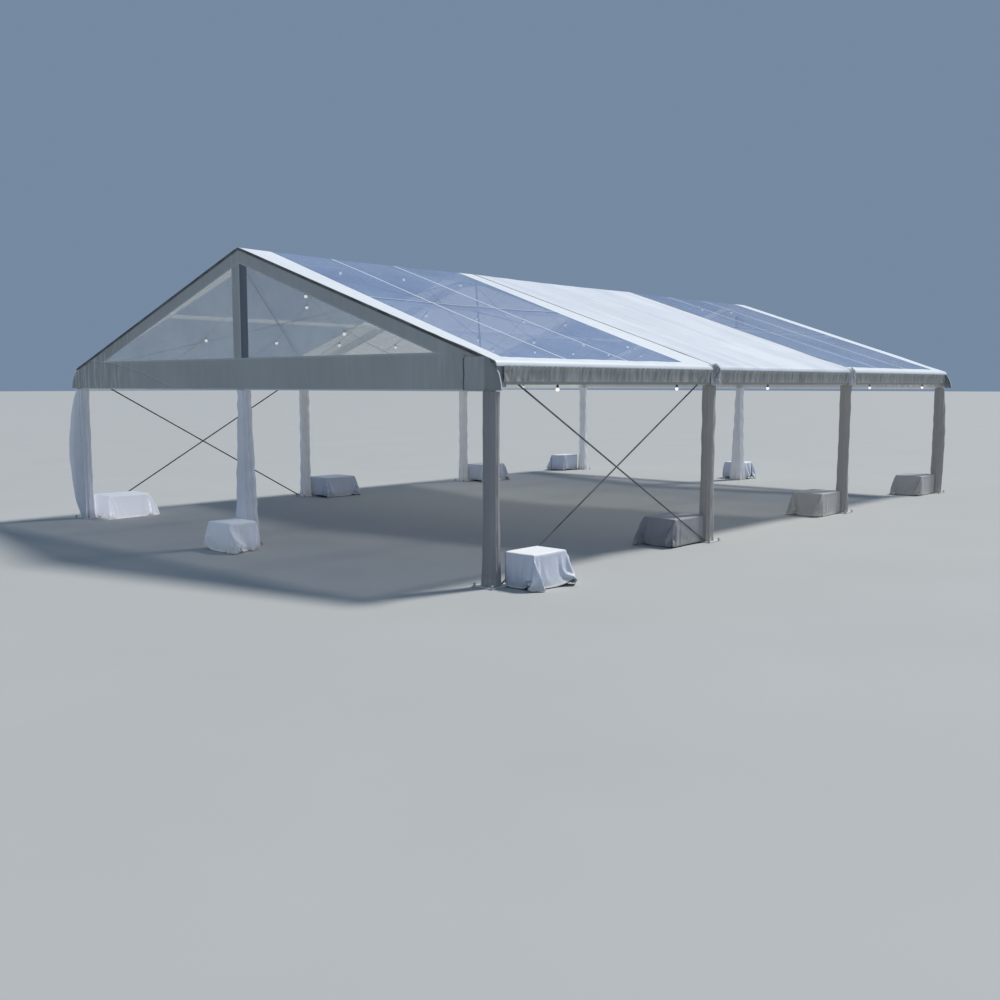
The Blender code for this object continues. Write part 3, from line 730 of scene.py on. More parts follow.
def corner_flap(side, end):
    """A loose flap over each corner of the gable. It lies on the gable, a short one close to its folds,
    and its free edge slants out beyond the corner as it falls and turns a little forwards. Behind it a
    strip returns round the corner to the side, and a disc closes the end of the roof's roll."""
    gable = ENDS[end]
    word = f"{gable}_{SIDES[side]}"
    seed = 80 + side + 2 * end
    length = FLAP_LENGTH if side > 0 else FLAP_LENGTH / 3
    u, t = grid_over(np.linspace(0, 1, 71), np.linspace(0, 1, 31))
    z = FLAP_FOOT + (FLAP_TOP - FLAP_FOOT) * t
    start = FLAP_ROOT - length
    edge = np.interp(z, *FLAP_EDGE)
    x = start + (edge - start) * u
    roof = RIDGE - np.minimum(x, ROLL_MIDDLE) * TAN + 0.004
    z = np.minimum(z, FLAP_FOOT + (roof - FLAP_FOOT) * t)
    loose = ease((u - 0.55) / 0.45)
    folds = waves(seed, x, t, 5, (2.0, 6.0), (0.2, 0.8)) * 0.005 * (0.3 + loose) * (1.1 - t)
    forward = 0.042 * loose * (1 - t) ** 0.7 - 0.020 * ease((u - 0.93) / 0.07)
    stand_off = FLAP_STAND_OFF
    if side < 0:
        bottom, top = gable_edges(x, end)
        height = np.clip((z - bottom) / (top - bottom), 0, 1)
        stand_off = SHEET_THICKNESS + gable_depth(side * x, height, end) * (1 - loose)
    y = GABLE_FACE + stand_off + forward + folds * ease(u / 0.2 + (side > 0))
    flap = Piece().shell(np.stack([side * x, end * y, z], -1), SHEET_THICKNESS, toward=(0, end, 0))
    rows = slice(1, 20) if side > 0 else slice(17, 30)
    hem = np.stack([side * x[-1], end * y[-1], z[-1]], -1)[rows]
    piping = Piece().grid(tube(hem, CORD_RADIUS, 8)).make(f"flap_piping_{word}", PIPING, "white_sheet")
    run, t = grid_over(np.linspace(0.002, RETURN_LENGTH, 41), np.linspace(0, 1, 21))
    z = VALANCE_BOTTOM - 0.02 + (ROLL_HEIGHT - VALANCE_BOTTOM + 0.02) * t
    x = SIDE_FACE + waves(seed + 5, run, t, 4, (5.0, 12.0), (0.2, 0.8)) * 0.003
    returned = np.stack([side * x, end * (GABLE_FACE - run), z], -1)
    corner = Piece().shell(returned, SHEET_THICKNESS, toward=(side, 0, 0))
    disc = turned_profile([(0, 0), (DISC_RADIUS, 0), (DISC_RADIUS, 0.002), (0, 0.002)], 28)
    roll_end = (side * ROLL_MIDDLE, end * (GABLE_FACE - 0.004), ROLL_HEIGHT)
    corner.grid(set_at(disc, roll_end, (1, 0, 0), (0, 0, 1)))
    outer, inner = (CORNER_SHEET, CORNER_SHEET) if side > 0 else (GABLE_FILM[end], FAR_VALANCE)
    pieces = ((flap, "flap", outer, (length + 0.10, FLAP_TOP - GABLE_BOTTOM), [piping]),
              (corner, "return", inner, (RETURN_LENGTH, 0.27), []))
    for piece, kind, material, size, trim in pieces:
        ob = piece.make(f"corner_{kind}_{word}", material, "white_sheet")
        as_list(trim)


def flap_cords():
    """The dark cord laced down the inner edge of each long corner flap, and the ring at its head."""
    cords, rings = Piece(), Piece()
    turn = np.linspace(0.25, 2 * math.pi - 0.25, 17)
    z = np.linspace(FLAP_FOOT + 0.002, FLAP_TOP - 0.012, 25)
    x = FLAP_ROOT - FLAP_LENGTH + 0.0025 * waves(33, z, z, 3, (2.0, 6.0), (0.1, 0.2))
    for end in (-1, 1):
        y = end * (GABLE_FACE + FLAP_STAND_OFF + 0.005)
        cords.grid(tube(np.stack([x, y + 0 * z, z], -1), CORD_RADIUS, 8))
        ring = np.stack([x[-1] + LACE_RING * np.sin(turn), y + end * 0.001 + 0 * turn,
                         FLAP_TOP + 0.004 + LACE_RING * np.cos(turn)], -1)
        rings.grid(tube(ring, 0.004, 8))
    cords.make("flap_cords", DARK_EDGE, "cable_rubber")
    rings.make("flap_rings", STEEL, "frame_aluminium")


def joint_ruffle(side, number):
    """The gathered ends of two sheets where they meet over an inner frame: a strip with deep crumpled
    folds on both sides of a slit, from the roof's roll to the valance's hem."""
    word = SIDES[side]
    v, t = grid_over(np.linspace(-1, 1, 61), np.linspace(0, 1, 43))
    half = RUFFLE_HALF * (1 - 0.38 * np.exp(-((t - 0.30) / 0.16) ** 2))
    y = FRAMES[number - 1] + v * half
    seed = 90 + 4 * number + side
    crush = np.abs(waves(seed, v, t, 5, (0.5, 1.5), (0.3, 1.5)))
    lobes = np.exp(-((np.abs(v) - 0.38) / 0.20) ** 2) * (0.5 + 0.5 * t)
    slit = np.exp(-(v / 0.09) ** 2)
    lift = 0.004 + (0.019 * crush + 0.016 * lobes) * (1 - v ** 4) - 0.014 * slit
    reach = SLOPE_END - 0.02 + (BEND_END - SLOPE_END + 0.02 + HANG_TOP - VALANCE_BOTTOM - 0.01) * t
    points = on_tent(reach * side, y, np.maximum(lift, 0.0015))
    piece = Piece().shell(points, SHEET_THICKNESS, toward=(side, 0, 0))
    material = RUFFLE if side > 0 else FAR_VALANCE
    ob = piece.make(f"joint_ruffle_{word}_{number}", material, "white_sheet")


def draped_leg(name, node, place, widths, seed, material, billow=(0.0, 0.0), softness=1.0):
    """A cloth wound round a leg. Its section is a squared circle whose half width goes from widths'
    foot to waist to head, with folds that drift round the leg as they rise; they are deepest at the
    foot, where the cloth spreads, and where it is tied at the top. billow pushes its middle out."""
    x, y = place
    high = corners(node)[1]
    t, turn = grid_over(np.linspace(0, 1, 57), np.linspace(0, 1, 97))
    angle = 2 * math.pi * turn
    z = 0.006 + (high[2] - 0.006) * t
    half = np.interp(t, np.linspace(0, 1, len(widths)), widths)
    c, s = np.cos(angle), np.sin(angle)
    squared = (np.abs(c) ** 2.5 + np.abs(s) ** 2.5) ** (-1 / 2.5)
    pick = np.random.default_rng(seed)
    folds = 0.0
    for k in (3, 5, 7, 8, 11, 14):
        drift = pick.uniform(-1.3, 1.3)
        folds = folds + pick.uniform(0.4, 1.0) * np.sin(k * angle + drift * t * 3 + pick.uniform(0, 6.3))
    ends = 0.010 * np.exp(-t / 0.10) + 0.005 * np.exp(-(1 - t) / 0.06)
    depth = (0.0035 + ends + 0.002 * np.sin(math.pi * t)) * softness
    slump = 0.006 * softness * waves(seed + 1, t * 4, turn, 4, (0.6, 2.4), (1, 3))
    radius = np.maximum(half * squared + folds * depth * 0.8 + slump, COVER_CLEAR)
    loose = np.sin(math.pi * np.clip((t - 0.02) / 0.96, 0, 1)) ** 0.75
    lean = np.maximum(0, c * billow[0] + s * billow[1]) * loose
    ruffle = 0.012 * np.exp(-t / 0.02) * np.sin(9 * angle + seed)
    radius = radius + lean + ruffle
    points = np.stack([x + radius * c, y + radius * s, z], -1)
    points[:, -1] = points[:, 0]
    piece = Piece().shell(points[::-1], COVER_THICKNESS, closed=True)
    ob = piece.make(name, material, "cover_cloth", [node])


def laid_over(low, high, over, ears):
    """A sheet laid over a block and creased down its sides, before it settles. Beyond the block's top
    each point of the sheet is r past the edge; at a corner, r and the angle run round a quarter circle,
    so the cut sheet has round corners. There the cloth stands out as an open ear: it rises from the
    hanging edge to a slant, sweeps from the ear's first azimuth to its last, and falls back, with each
    distance kept. over is how far the sheet reaches past each side (-X, -Y, +X, +Y); ears gives the
    azimuths of the corners (-X-Y, +X-Y, -X+Y, +X+Y), or None where the corner is slit instead.
    Returns the laid points, the points as cut, and which of them belong to the sheet."""
    x = np.arange(low[0] - over[0], high[0] + over[2] + CLOTH_GRID / 2, CLOTH_GRID)
    y = np.arange(low[1] - over[1], high[1] + over[3] + CLOTH_GRID / 2, CLOTH_GRID)
    x, y = grid_over(x, y)
    edge_x, edge_y = np.clip(x, low[0], high[0]), np.clip(y, low[1], high[1])
    way_x, way_y = np.sign(x - edge_x), np.sign(y - edge_y)
    past_x, past_y = np.abs(x - edge_x), np.abs(y - edge_y)
    at_corner = (past_x > 1e-9) & (past_y > 1e-9)
    r = np.maximum(past_x, past_y)
    slim = np.minimum(past_x, past_y) / np.maximum(r, 1e-9) * math.pi / 4
    turn = np.where(past_x >= past_y, slim, math.pi / 2 - slim)
    cut_points = np.stack([edge_x + way_x * r * np.cos(turn), edge_y + way_y * r * np.sin(turn), 0 * x], -1)
    share = turn / (math.pi / 2)
    azimuth = np.where(past_y > past_x, math.pi / 2, 0.0)
    slant = np.zeros_like(share)
    kept = np.ones(x.shape, bool)
    for (corner_x, corner_y), ear in zip(((-1, -1), (1, -1), (-1, 1), (1, 1)), ears):
        here = at_corner & (way_x == corner_x) & (way_y == corner_y)
        if ear is None:
            kept &= ~(here & (np.minimum(past_x, past_y) > CLOTH_GRID * 0.6))
            continue
        first, last = np.radians(ear)
        sweep = last - first
        tip = 0.4
        for _ in range(20):
            tip -= (2 * tip + sweep * math.sin(tip) - math.pi / 2) / (2 + sweep * math.cos(tip))
        rise = tip / (math.pi / 2)
        slant = np.where(here, tip * np.clip(np.minimum(share, 1 - share) / rise, 0, 1), slant)
        swept = first + sweep * np.clip((share - rise) / (1 - 2 * rise), 0, 1)
        azimuth = np.where(here, swept, azimuth)
    z = high[2] + CLOTH_SKIN - r * np.cos(slant)
    reach = r * np.sin(slant) + np.maximum(0.010 - z, 0)
    x = edge_x + way_x * (np.cos(azimuth) * reach + CLOTH_SKIN * (past_x > 0))
    y = edge_y + way_y * (np.sin(azimuth) * reach + CLOTH_SKIN * (past_y > 0))
    return np.stack([x, y, np.maximum(z, 0.010)], -1), cut_points, kept


def solid_box(name, low, high):
    """A box that the settling cloth rests on, removed again afterwards."""
    sides = [(0, 1, 3, 2), (4, 6, 7, 5), (0, 4, 5, 1), (2, 3, 7, 6), (0, 2, 6, 4), (1, 5, 7, 3)]
    ob = placed(name, list(itertools.product(*zip(low, high))), sides)
    ob.modifiers.new("rests", "COLLISION")
    ob.collision.thickness_outer = 0.004
    ob.collision.thickness_inner = 0.05
    ob.collision.cloth_friction = 30
    ob.collision.damping = 0.6
    return ob


def settled(points, cut_points, faces, boxes):
    """Where a laid sheet comes to rest over the boxes, by Blender's cloth."""
    ob = placed("settling", points, faces)
    ob.shape_key_add(name="Basis")
    as_cut = ob.shape_key_add(name="as_cut")
    as_cut.data.foreach_set("co", cut_points.astype(np.float32).ravel())
    as_cut.value = 0.0
    cloth = ob.modifiers.new("cloth", "CLOTH")
    settings = cloth.settings
    settings.rest_shape_key = as_cut
    settings.quality = 7
    settings.mass = 0.25
    settings.tension_stiffness = settings.compression_stiffness = 18
    settings.shear_stiffness = 6
    settings.bending_stiffness = 0.22
    settings.tension_damping = settings.compression_damping = settings.shear_damping = 8
    settings.bending_damping = 0.8
    settings.air_damping = 2.5
    touch = cloth.collision_settings
    touch.collision_quality = 3
    touch.distance_min = 0.005
    touch.use_self_collision = True
    touch.self_distance_min = 0.005
    touch.self_friction = 10
    cloth.point_cache.frame_start = 1
    cloth.point_cache.frame_end = CLOTH_FRAMES
    solids = [solid_box(f"rest_{i}", *box) for i, box in enumerate(boxes)]
    for number in range(1, CLOTH_FRAMES + 1):
        bpy.context.scene.frame_set(number)
    shown = ob.evaluated_get(bpy.context.evaluated_depsgraph_get())
    result = np.empty(len(points) * 3, np.float32)
    shown.data.vertices.foreach_get("co", result)
    for each in [ob, *solids]:
        bpy.data.objects.remove(each)
    bpy.context.scene.frame_set(1)
    return result.reshape(-1, 3).astype(float)


def weight_cloth(low, high, insets, over, ears, near, seed):
    """The points and faces of the cloth over the weight whose node's box is low to high. insets are
    how far the block stands inside its box on each side, near the boxes beside it."""
    block_low = np.array([low[0] + insets[0], low[1] + insets[1], 0.0])
    block_high = np.array([high[0] - insets[2], high[1] - insets[3], high[2] - CLOTH_SKIN - 0.008])
    points, cut_points, kept = laid_over(block_low, block_high, over, ears)
    faces = quads(np.arange(kept.size).reshape(kept.shape))
    faces = faces[kept.reshape(-1)[faces].all(1)]
    used = np.unique(faces)
    number = np.zeros(kept.size, int)
    number[used] = np.arange(len(used))
    faces = number[faces]
    points, cut_points = points.reshape(-1, 3)[used], cut_points.reshape(-1, 3)[used]
    pick = np.random.default_rng(seed)
    points = points + pick.normal(0, 0.0009, points.shape)
    points[:, 2] = np.maximum(points[:, 2], 0.007)
    ground = ((low[0] - 2, low[1] - 2, -0.5), (high[0] + 2, high[1] + 2, 0.0))
    points = settled(points, cut_points, faces, [(block_low, block_high), ground, *near])
    points[:, 2] = np.maximum(points[:, 2], FLOOR_GAP)
    return points, faces


def covered_weight(node, points, faces, turned=False):
    """One weight's cloth made a piece: the settled sheet, rounded a little and given its thickness."""
    if turned:
        points = points * (-1, -1, 1)
    ob = placed(f"{node}_cloth", points, faces)
    ob.data.shade_smooth()
    cloths = {"weight_left_1": SUNLIT_WEIGHT_CLOTH, "post_weight_front": POST_WEIGHT_CLOTH}
    shaded = "right" in node and node[-1] != "1"
    carried(ob, cloths.get(node, SHADED_WEIGHT_CLOTH if shaded else WEIGHT_CLOTH), [node])
    rounded = ob.modifiers.new("rounded", "SMOOTH")
    rounded.factor = 0.45
    rounded.iterations = 1
    thick = ob.modifiers.new("thickness", "SOLIDIFY")
    thick.thickness = WEIGHT_THICKNESS
    thick.offset = 1.0


def festoon_route(crossings):
    """The cable's points: from eave to ridge to eave in two swags, then under the eave beam to the
    next crossing, and back."""
    ridge = corners("ridge_purlin")[0][2] - 0.0003 - CABLE_DIAMETER / 2
    eave = corners("eave_beam_right")[0][2] - CABLE_DIAMETER / 2 - HOOK_DROP
    hook = corners("eave_beam_right")[1][0] - HOOK_INSET
    down = [(hook * t, ridge + (eave - ridge) * t - 4 * SWAG_DEPTH * t * (1 - t)) for t in SWAG_SHARES]
    down.append((hook, eave))
    points = []
    for n, crossing in enumerate(crossings):
        y = crossing * CROSSING_SPACING
        way = -1 if n % 2 == 0 else 1
        points += [(way * x, y, z) for x, z in reversed(down)]
        points.append((0.0, y, ridge))
        points += [(-way * x, y, z) for x, z in down]
        points.append((-way * hook, y + CROSSING_SPACING / 2, eave - EAVE_SAG_DEPTH))
    return np.array(points[:-1])


def smooth_through(points, steps):
    """A centripetal Catmull-Rom curve through the points, read steps times a span: three rounds of
    blending between knots whose spacing is the root of the distance."""
    ends = np.concatenate([[2 * points[0] - points[1]], points, [2 * points[-1] - points[-2]]])
    four = [ends[i:len(ends) - 3 + i, None] for i in range(4)]
    knots = [np.zeros_like(four[0][..., :1])]
    for a, b in zip(four, four[1:]):
        knots.append(knots[-1] + np.sqrt(np.linalg.norm(b - a, axis=-1, keepdims=True)))
    share = np.arange(steps)[None, :, None] / steps
    t = knots[1] + (knots[2] - knots[1]) * share
    row = four
    for reach in (1, 2, 3):
        lows = knots[:4 - reach] if reach < 3 else [knots[1]]
        highs = knots[reach:] if reach < 3 else [knots[2]]
        row = [a + (b - a) * ((t - low) / (high - low))
               for a, b, low, high in zip(row, row[1:], lows, highs)]
    return np.concatenate([row[0].reshape(-1, 3), points[-1:]])


def travelled(line):
    return np.concatenate([[0], np.cumsum(np.linalg.norm(np.diff(line, axis=0), axis=1))])


def along_line(line, places):
    """Points at those distances along a line."""
    return np.stack([np.interp(places, travelled(line), line[:, i]) for i in range(3)], -1)


def bulb_places(line, count):
    """Where the bulbs sit along a festoon cable of so many crossings: evenly, with one in the middle
    of each run under the eaves, and none just at an end."""
    far = travelled(line)
    anchors = [0.3]
    y = line[:, 1]
    for n in range(count - 1):
        turn = y[0] + (n + 0.5) * CROSSING_SPACING
        anchors.append(far[np.abs(y - turn).argmin()])
    anchors.append(far[-1] - 0.3)
    places = [anchors[:1]]
    for a, b in zip(anchors, anchors[1:]):
        places.append(np.linspace(a, b, int(round((b - a) / BULB_SPACING)) + 1)[1:])
    return np.concatenate(places)


def turned_profile(profile, sides):
    """A profile of radius and height, from its foot up, turned round Z."""
    profile = np.array(profile[::-1], float)
    angle = np.linspace(0, 2 * math.pi, sides + 1)
    return np.stack([profile[:, :1] * np.cos(angle), profile[:, :1] * np.sin(angle),
                     np.broadcast_to(profile[:, 1:], (len(profile), sides + 1))], -1)


def tube(line, radius, sides=10):
    """A round tube along a line, its rings square to the line, closed by a point at each end."""
    ahead = unit(np.gradient(line, axis=0))
    guide = np.where(np.abs(ahead[:, 2:]) > 0.9, [[1.0, 0.0, 0.0]], [[0.0, 0.0, 1.0]])
    across = unit(np.cross(ahead, guide))
    up = np.cross(across, ahead)
    line = np.concatenate([line[:1], line, line[-1:]])
    across = np.concatenate([across[:1], across, across[-1:]])
    up = np.concatenate([up[:1], up, up[-1:]])
    reach = np.full(len(line), radius)
    reach[0] = reach[-1] = 0.0
    angle = np.linspace(0, 2 * math.pi, sides + 1)[None, :, None]
    ring = across[:, None] * np.cos(angle) + up[:, None] * np.sin(angle)
    return line[:, None] + ring * reach[:, None, None]


def set_at(points, places, first=None, second=None):
    """Copies of a grid at several places. first and second are where its X and Y go, one pair for
    all the copies or one a copy; its Z goes along first crossed with second."""
    places = np.atleast_2d(np.array(places, float))
    first = np.broadcast_to(np.array(first if first is not None else (1, 0, 0), float), places.shape)
    second = np.broadcast_to(np.array(second if second is not None else (0, 1, 0), float), places.shape)
    axes = np.stack([first, second, np.cross(first, second)], 1)
    return np.einsum("mnc,kcd->kmnd", points, axes) + places[:, None, None]


def slab(outline, thickness, bevel=0.002):
    """A plate whose outline can be seen whole from its middle: rings from the middle of its front over
    the bevelled rim to the middle of its back."""
    outline = np.array(outline, float)
    outline = np.concatenate([outline, outline[:1]])
    middle_point = outline[:-1].mean(0)
    inset = 1 - bevel / np.abs(outline - middle_point).max()
    half = thickness / 2
    levels = ((0, half), (inset, half), (1, half - bevel), (1, bevel - half), (inset, -half), (0, -half))
    rings = [np.c_[middle_point + (outline - middle_point) * scale, np.full(len(outline), z)]
             for scale, z in levels]
    return np.array(rings)


def rounded_box(width, length, radius=0.02, steps=4):
    """The outline of a rectangle with round corners, round its middle."""
    angle = np.linspace(0, math.pi / 2, steps)
    around = []
    for i, (sx, sy) in enumerate(((1, 1), (-1, 1), (-1, -1), (1, -1))):
        x = sx * (width / 2 - radius) + radius * np.cos(angle + i * math.pi / 2)
        y = sy * (length / 2 - radius) + radius * np.sin(angle + i * math.pi / 2)
        around.append(np.c_[x, y])
    return np.concatenate(around)


def finish_frame():
    """Gives every shown node of the frame its metal."""
    rafters, beams, legs = (extruded_aluminium(f"aluminium_{word}", way)
                            for way, word in enumerate(("rafters", "beams", "legs")))
    # The purlins are painted paler than the rest of the frame and given a glow: painted sunlight that comes
    # through the film.
    purlins = extruded_aluminium("aluminium_purlins", 1, 1.2, 0.0, 0.14)
    strap = dark_strap("brace_strap")
    metals = {"leg_": legs, "gable_post": legs, "rafter": rafters, "eave_beam": beams, "ridge_purlin": beams,
              "mid_purlin": purlins, "wall_brace": strap, "roof_brace": strap}
    for name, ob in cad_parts.items():
        chosen = [metal for start, metal in metals.items() if name.startswith(start)]
        if chosen:
            for place in ob.material_slots:
                place.material = chosen[0]


# The materials
# The right valance is painted darker than the left, as painted shade on the side away from the sun, and its
# hem, which turns inwards, darker still as painted shade.
NEAR_VALANCE = coated_sheet("near_valance", (0.46, 0.465, 0.45), (15.0, 15.0, 2.2), 0.004, 1.0,
                            (lambda x, y, z: z.below(VALANCE_BOTTOM + VALANCE_HEM + 0.004), 0.62))
FAR_VALANCE = coated_sheet("far_valance", (0.76, 0.78, 0.76), (14.0, 14.0, 2.2), 0.004, soaked=0.20)
PIPING = coated_sheet("piping", (0.84, 0.86, 0.87), soaked=0.14)
# The corner flaps on the right are painted darker as shade, and their loose ends darker still as painted
# shade.
CORNER_SHEET = coated_sheet("corner_sheet", (0.40, 0.425, 0.43), (9.0, 9.0, 2.0), 0.006, 0.3,
                            (lambda x, y, z: abs(x).above(SIDE_FACE - 0.165, 0.02), 0.66))
# The front gable's white is painted darker than the rear's: painted shade on the side away from the sun.
GABLE_FILM = {-1: gable_film("gable_bands_and_film_front", 1, (0.41, 0.435, 0.435), 0.0),
              1: gable_film("gable_bands_and_film_rear", -1, (0.66, 0.69, 0.71), 0.09)}
# The right ruffles are painted darker as shade, and the slit between their two sheets darker still as painted
# shade.
RUFFLE = coated_sheet("ruffle_sheet", (0.64, 0.65, 0.66), (11.0, 11.0, 3.0), 0.006, 1.0,
                      (lambda x, y, z: abs(abs(y) + FRAMES[1]).below(0.009, 0.004), 0.12))
COVER_CLOTH = draped_cloth("cover_cloth", (0.88, 0.88, 0.92), 0.2, 0.042)
# The right legs' cloth is the same white cloth painted much darker: painted shade on the side away from the
# sun.
NEAR_COVER_CLOTH = draped_cloth("near_cover_cloth", (0.300, 0.292, 0.304), 0.2, 0.035)
# Its tops are painted whiter, as painted light from above.
WEIGHT_CLOTH = draped_cloth("weight_cloth", (0.74, 0.78, 0.88), 0.3, painted_top_light=0.96)
# The front left weight's and the front post's weight's cloths are paler copies with a glow: painted sunlight.
SUNLIT_WEIGHT_CLOTH = draped_cloth("sunlit_weight_cloth", (0.90, 0.92, 0.96), 0.3, 0.32, -20.0,
                                   (0.94, 0.92, 1.0))
POST_WEIGHT_CLOTH = draped_cloth("post_weight_cloth", (0.90, 0.92, 0.96), 0.3, 0.07, -20.0,
                                 (0.94, 0.95, 1.0))
SHADED_WEIGHT_CLOTH = draped_cloth("shaded_weight_cloth", (0.37, 0.37, 0.39), 0.3, 0.050, 0.0,
                                   (1.0, 0.98, 0.85))
STEEL = galvanised("galvanised_steel")
EDGE_RAIL = extruded_aluminium("edge_rail", 0)
CABLE = cable_rubber("cable_rubber")
BULB_GLASS = opal_glass("opal_glass")
DARK_EDGE = dark_strap("dark_edge")


def build_sheets():
    front = roof_film("front_bay_film", *FRONT_FILM)
    rear = roof_film("rear_bay_film", *REAR_FILM)
    white = coated_sheet("white_bay_sheet", (0.83, 0.87, 0.93), (0.30, 3.2, 0.30), 0.016, 0.26,
                         soaked=0.25, overhead=True)
    roof_bay("roof_front", 0, "roof_clear_front", front, "clear_film")
    roof_bay("roof_middle", 1, "roof_white_middle", white, "white_sheet")
    roof_bay("roof_rear", 2, "roof_clear_rear", rear, "clear_film")
    for side in SIDES:
        side_valance(side)
        for number in (2, 3):
            joint_ruffle(side, number)
        for end in ENDS:
            corner_flap(side, end)
    flap_cords()
    for end in ENDS:
        gable_sheet(end)


def build_weights():
    """Five cloths are settled; the left side and the rear post repeat them turned half round, as the
    weights' places do."""
    plans = [
        ("weight_right_1", "weight_left_4", (0.020, 0.020, 0.070, 0.070), (0.40, 0.455, 0.43, 0.42),
         (None, (15, 75), (-60, -20), (30, 70)), 3),
        ("weight_right_2", "weight_left_3", (0.070, 0.070, 0.020, 0.020), (0.455, 0.46, 0.42, 0.40),
         ((20, 70), (10, 60), (20, 75), None), 4),
        ("weight_right_3", "weight_left_2", (0.070, 0.070, 0.020, 0.020), (0.46, 0.455, 0.42, 0.40),
         ((15, 75), (25, 80), (10, 60), None), 8),
        ("weight_right_4", "weight_left_1", (0.070, 0.070, 0.020, 0.020), (0.46, 0.46, 0.42, 0.40),
         ((5, 65), (15, 75), (20, 70), None), 9),
        ("post_weight_front", "post_weight_rear", (0.070, 0.070, 0.070, 0.020), (0.455, 0.46, 0.455, 0.40),
         ((15, 70), (20, 75), (-60, -20), (-60, -20)), 11),
    ]
    for node, twin, insets, over, ears, seed in plans:
        low, high = corners(node)
        near = []
        for name in [f"leg_cover_right_{i}" for i in (1, 2, 3, 4)] + ["post_cover_front"]:
            other_low, other_high = corners(name)
            if (other_low < high + 0.1).all() and (other_high > low - 0.1).all():
                near.append((other_low * (1, 1, 0), other_high))
        if "right" in node:
            brace = corners("wall_brace_right")[1][0]
            wall = (brace - 0.15, brace + 0.004) if node.endswith("1") else (brace - 0.008, brace + 0.15)
            near.append(((wall[0], low[1] - 1.0, 0.0), (wall[1], high[1] + 1.0, 2.0)))
        points, faces = weight_cloth(low, high, insets, over, ears, near, seed)
        size = (high[0] - low[0] - insets[0] - insets[2] + over[0] + over[2],
                high[1] - low[1] - insets[1] - insets[3] + over[1] + over[3])
        covered_weight(node, points, faces)
        covered_weight(twin, points, faces, turned=True)


def build_cloths():
    for side, word in SIDES.items():
        for i, y in enumerate(FRAMES):
            node = f"leg_cover_{word}_{i + 1}"
            cloth, softness = (NEAR_COVER_CLOTH, 0.3 if i == 0 else 0.7) if side > 0 else (COVER_CLOTH, 1.0)
            draped_leg(f"draped_leg_{word}_{i + 1}", node, (side * HALF, y), LEG_WIDTHS, 7 * i + 3 + side,
                       cloth, BILLOWS.get(node, (0.0, 0.0)), softness)
    for end, word in ENDS.items():
        draped_leg(f"draped_post_{word}", f"post_cover_{word}", (0.0, end * FRAMES[-1]), POST_WIDTHS,
                   31 + end, COVER_CLOTH)


def build_festoons():
    socket_profile = [(0, -0.048), (0.0165, -0.048), (0.0155, -0.030), (0.014, -0.014), (0.006, -0.006),
                      (0, -0.004)]
    angles = np.linspace(math.pi, math.pi * 0.16, 9)
    bulb_profile = [(BULB_RADIUS * math.sin(a), BULB_RADIUS * math.cos(a) - 0.070) for a in angles]
    socket = turned_profile(socket_profile, 10)
    bulb = turned_profile(bulb_profile + [(0.012, -0.044), (0, -0.044)], 12)
    bent = [(0, 0, 0.012), (0, 0, 0.004), (0.006, 0, -0.004), (0, 0, -0.010), (-0.006, 0, -0.003)]
    hook = smooth_through(np.array(bent), 3)
    for word, crossings in CROSSINGS.items():
        route = festoon_route(crossings)
        line = smooth_through(route, 6)
        cable = Piece().grid(tube(line, CABLE_DIAMETER / 2, 8)).make(
            f"festoon_cable_{word}", CABLE, "cable_rubber", [f"festoon_{word}"])
        spots = along_line(line, bulb_places(line, len(crossings)))
        sockets = Piece().grid(set_at(socket, spots)).make(f"festoon_sockets_{word}", CABLE, "cable_rubber")
        bulbs = Piece().grid(set_at(bulb, spots)).make(f"festoon_bulbs_{word}", BULB_GLASS)
        hooked = route[(np.abs(route[:, 0]) < 0.01) | (np.abs(route[:, 2] - route[0, 2]) < 1e-4)]
        hooks = Piece().grid(set_at(tube(hook, HOOK_WIRE, 6), hooked)).make(
            f"festoon_hooks_{word}", STEEL, "frame_aluminium")


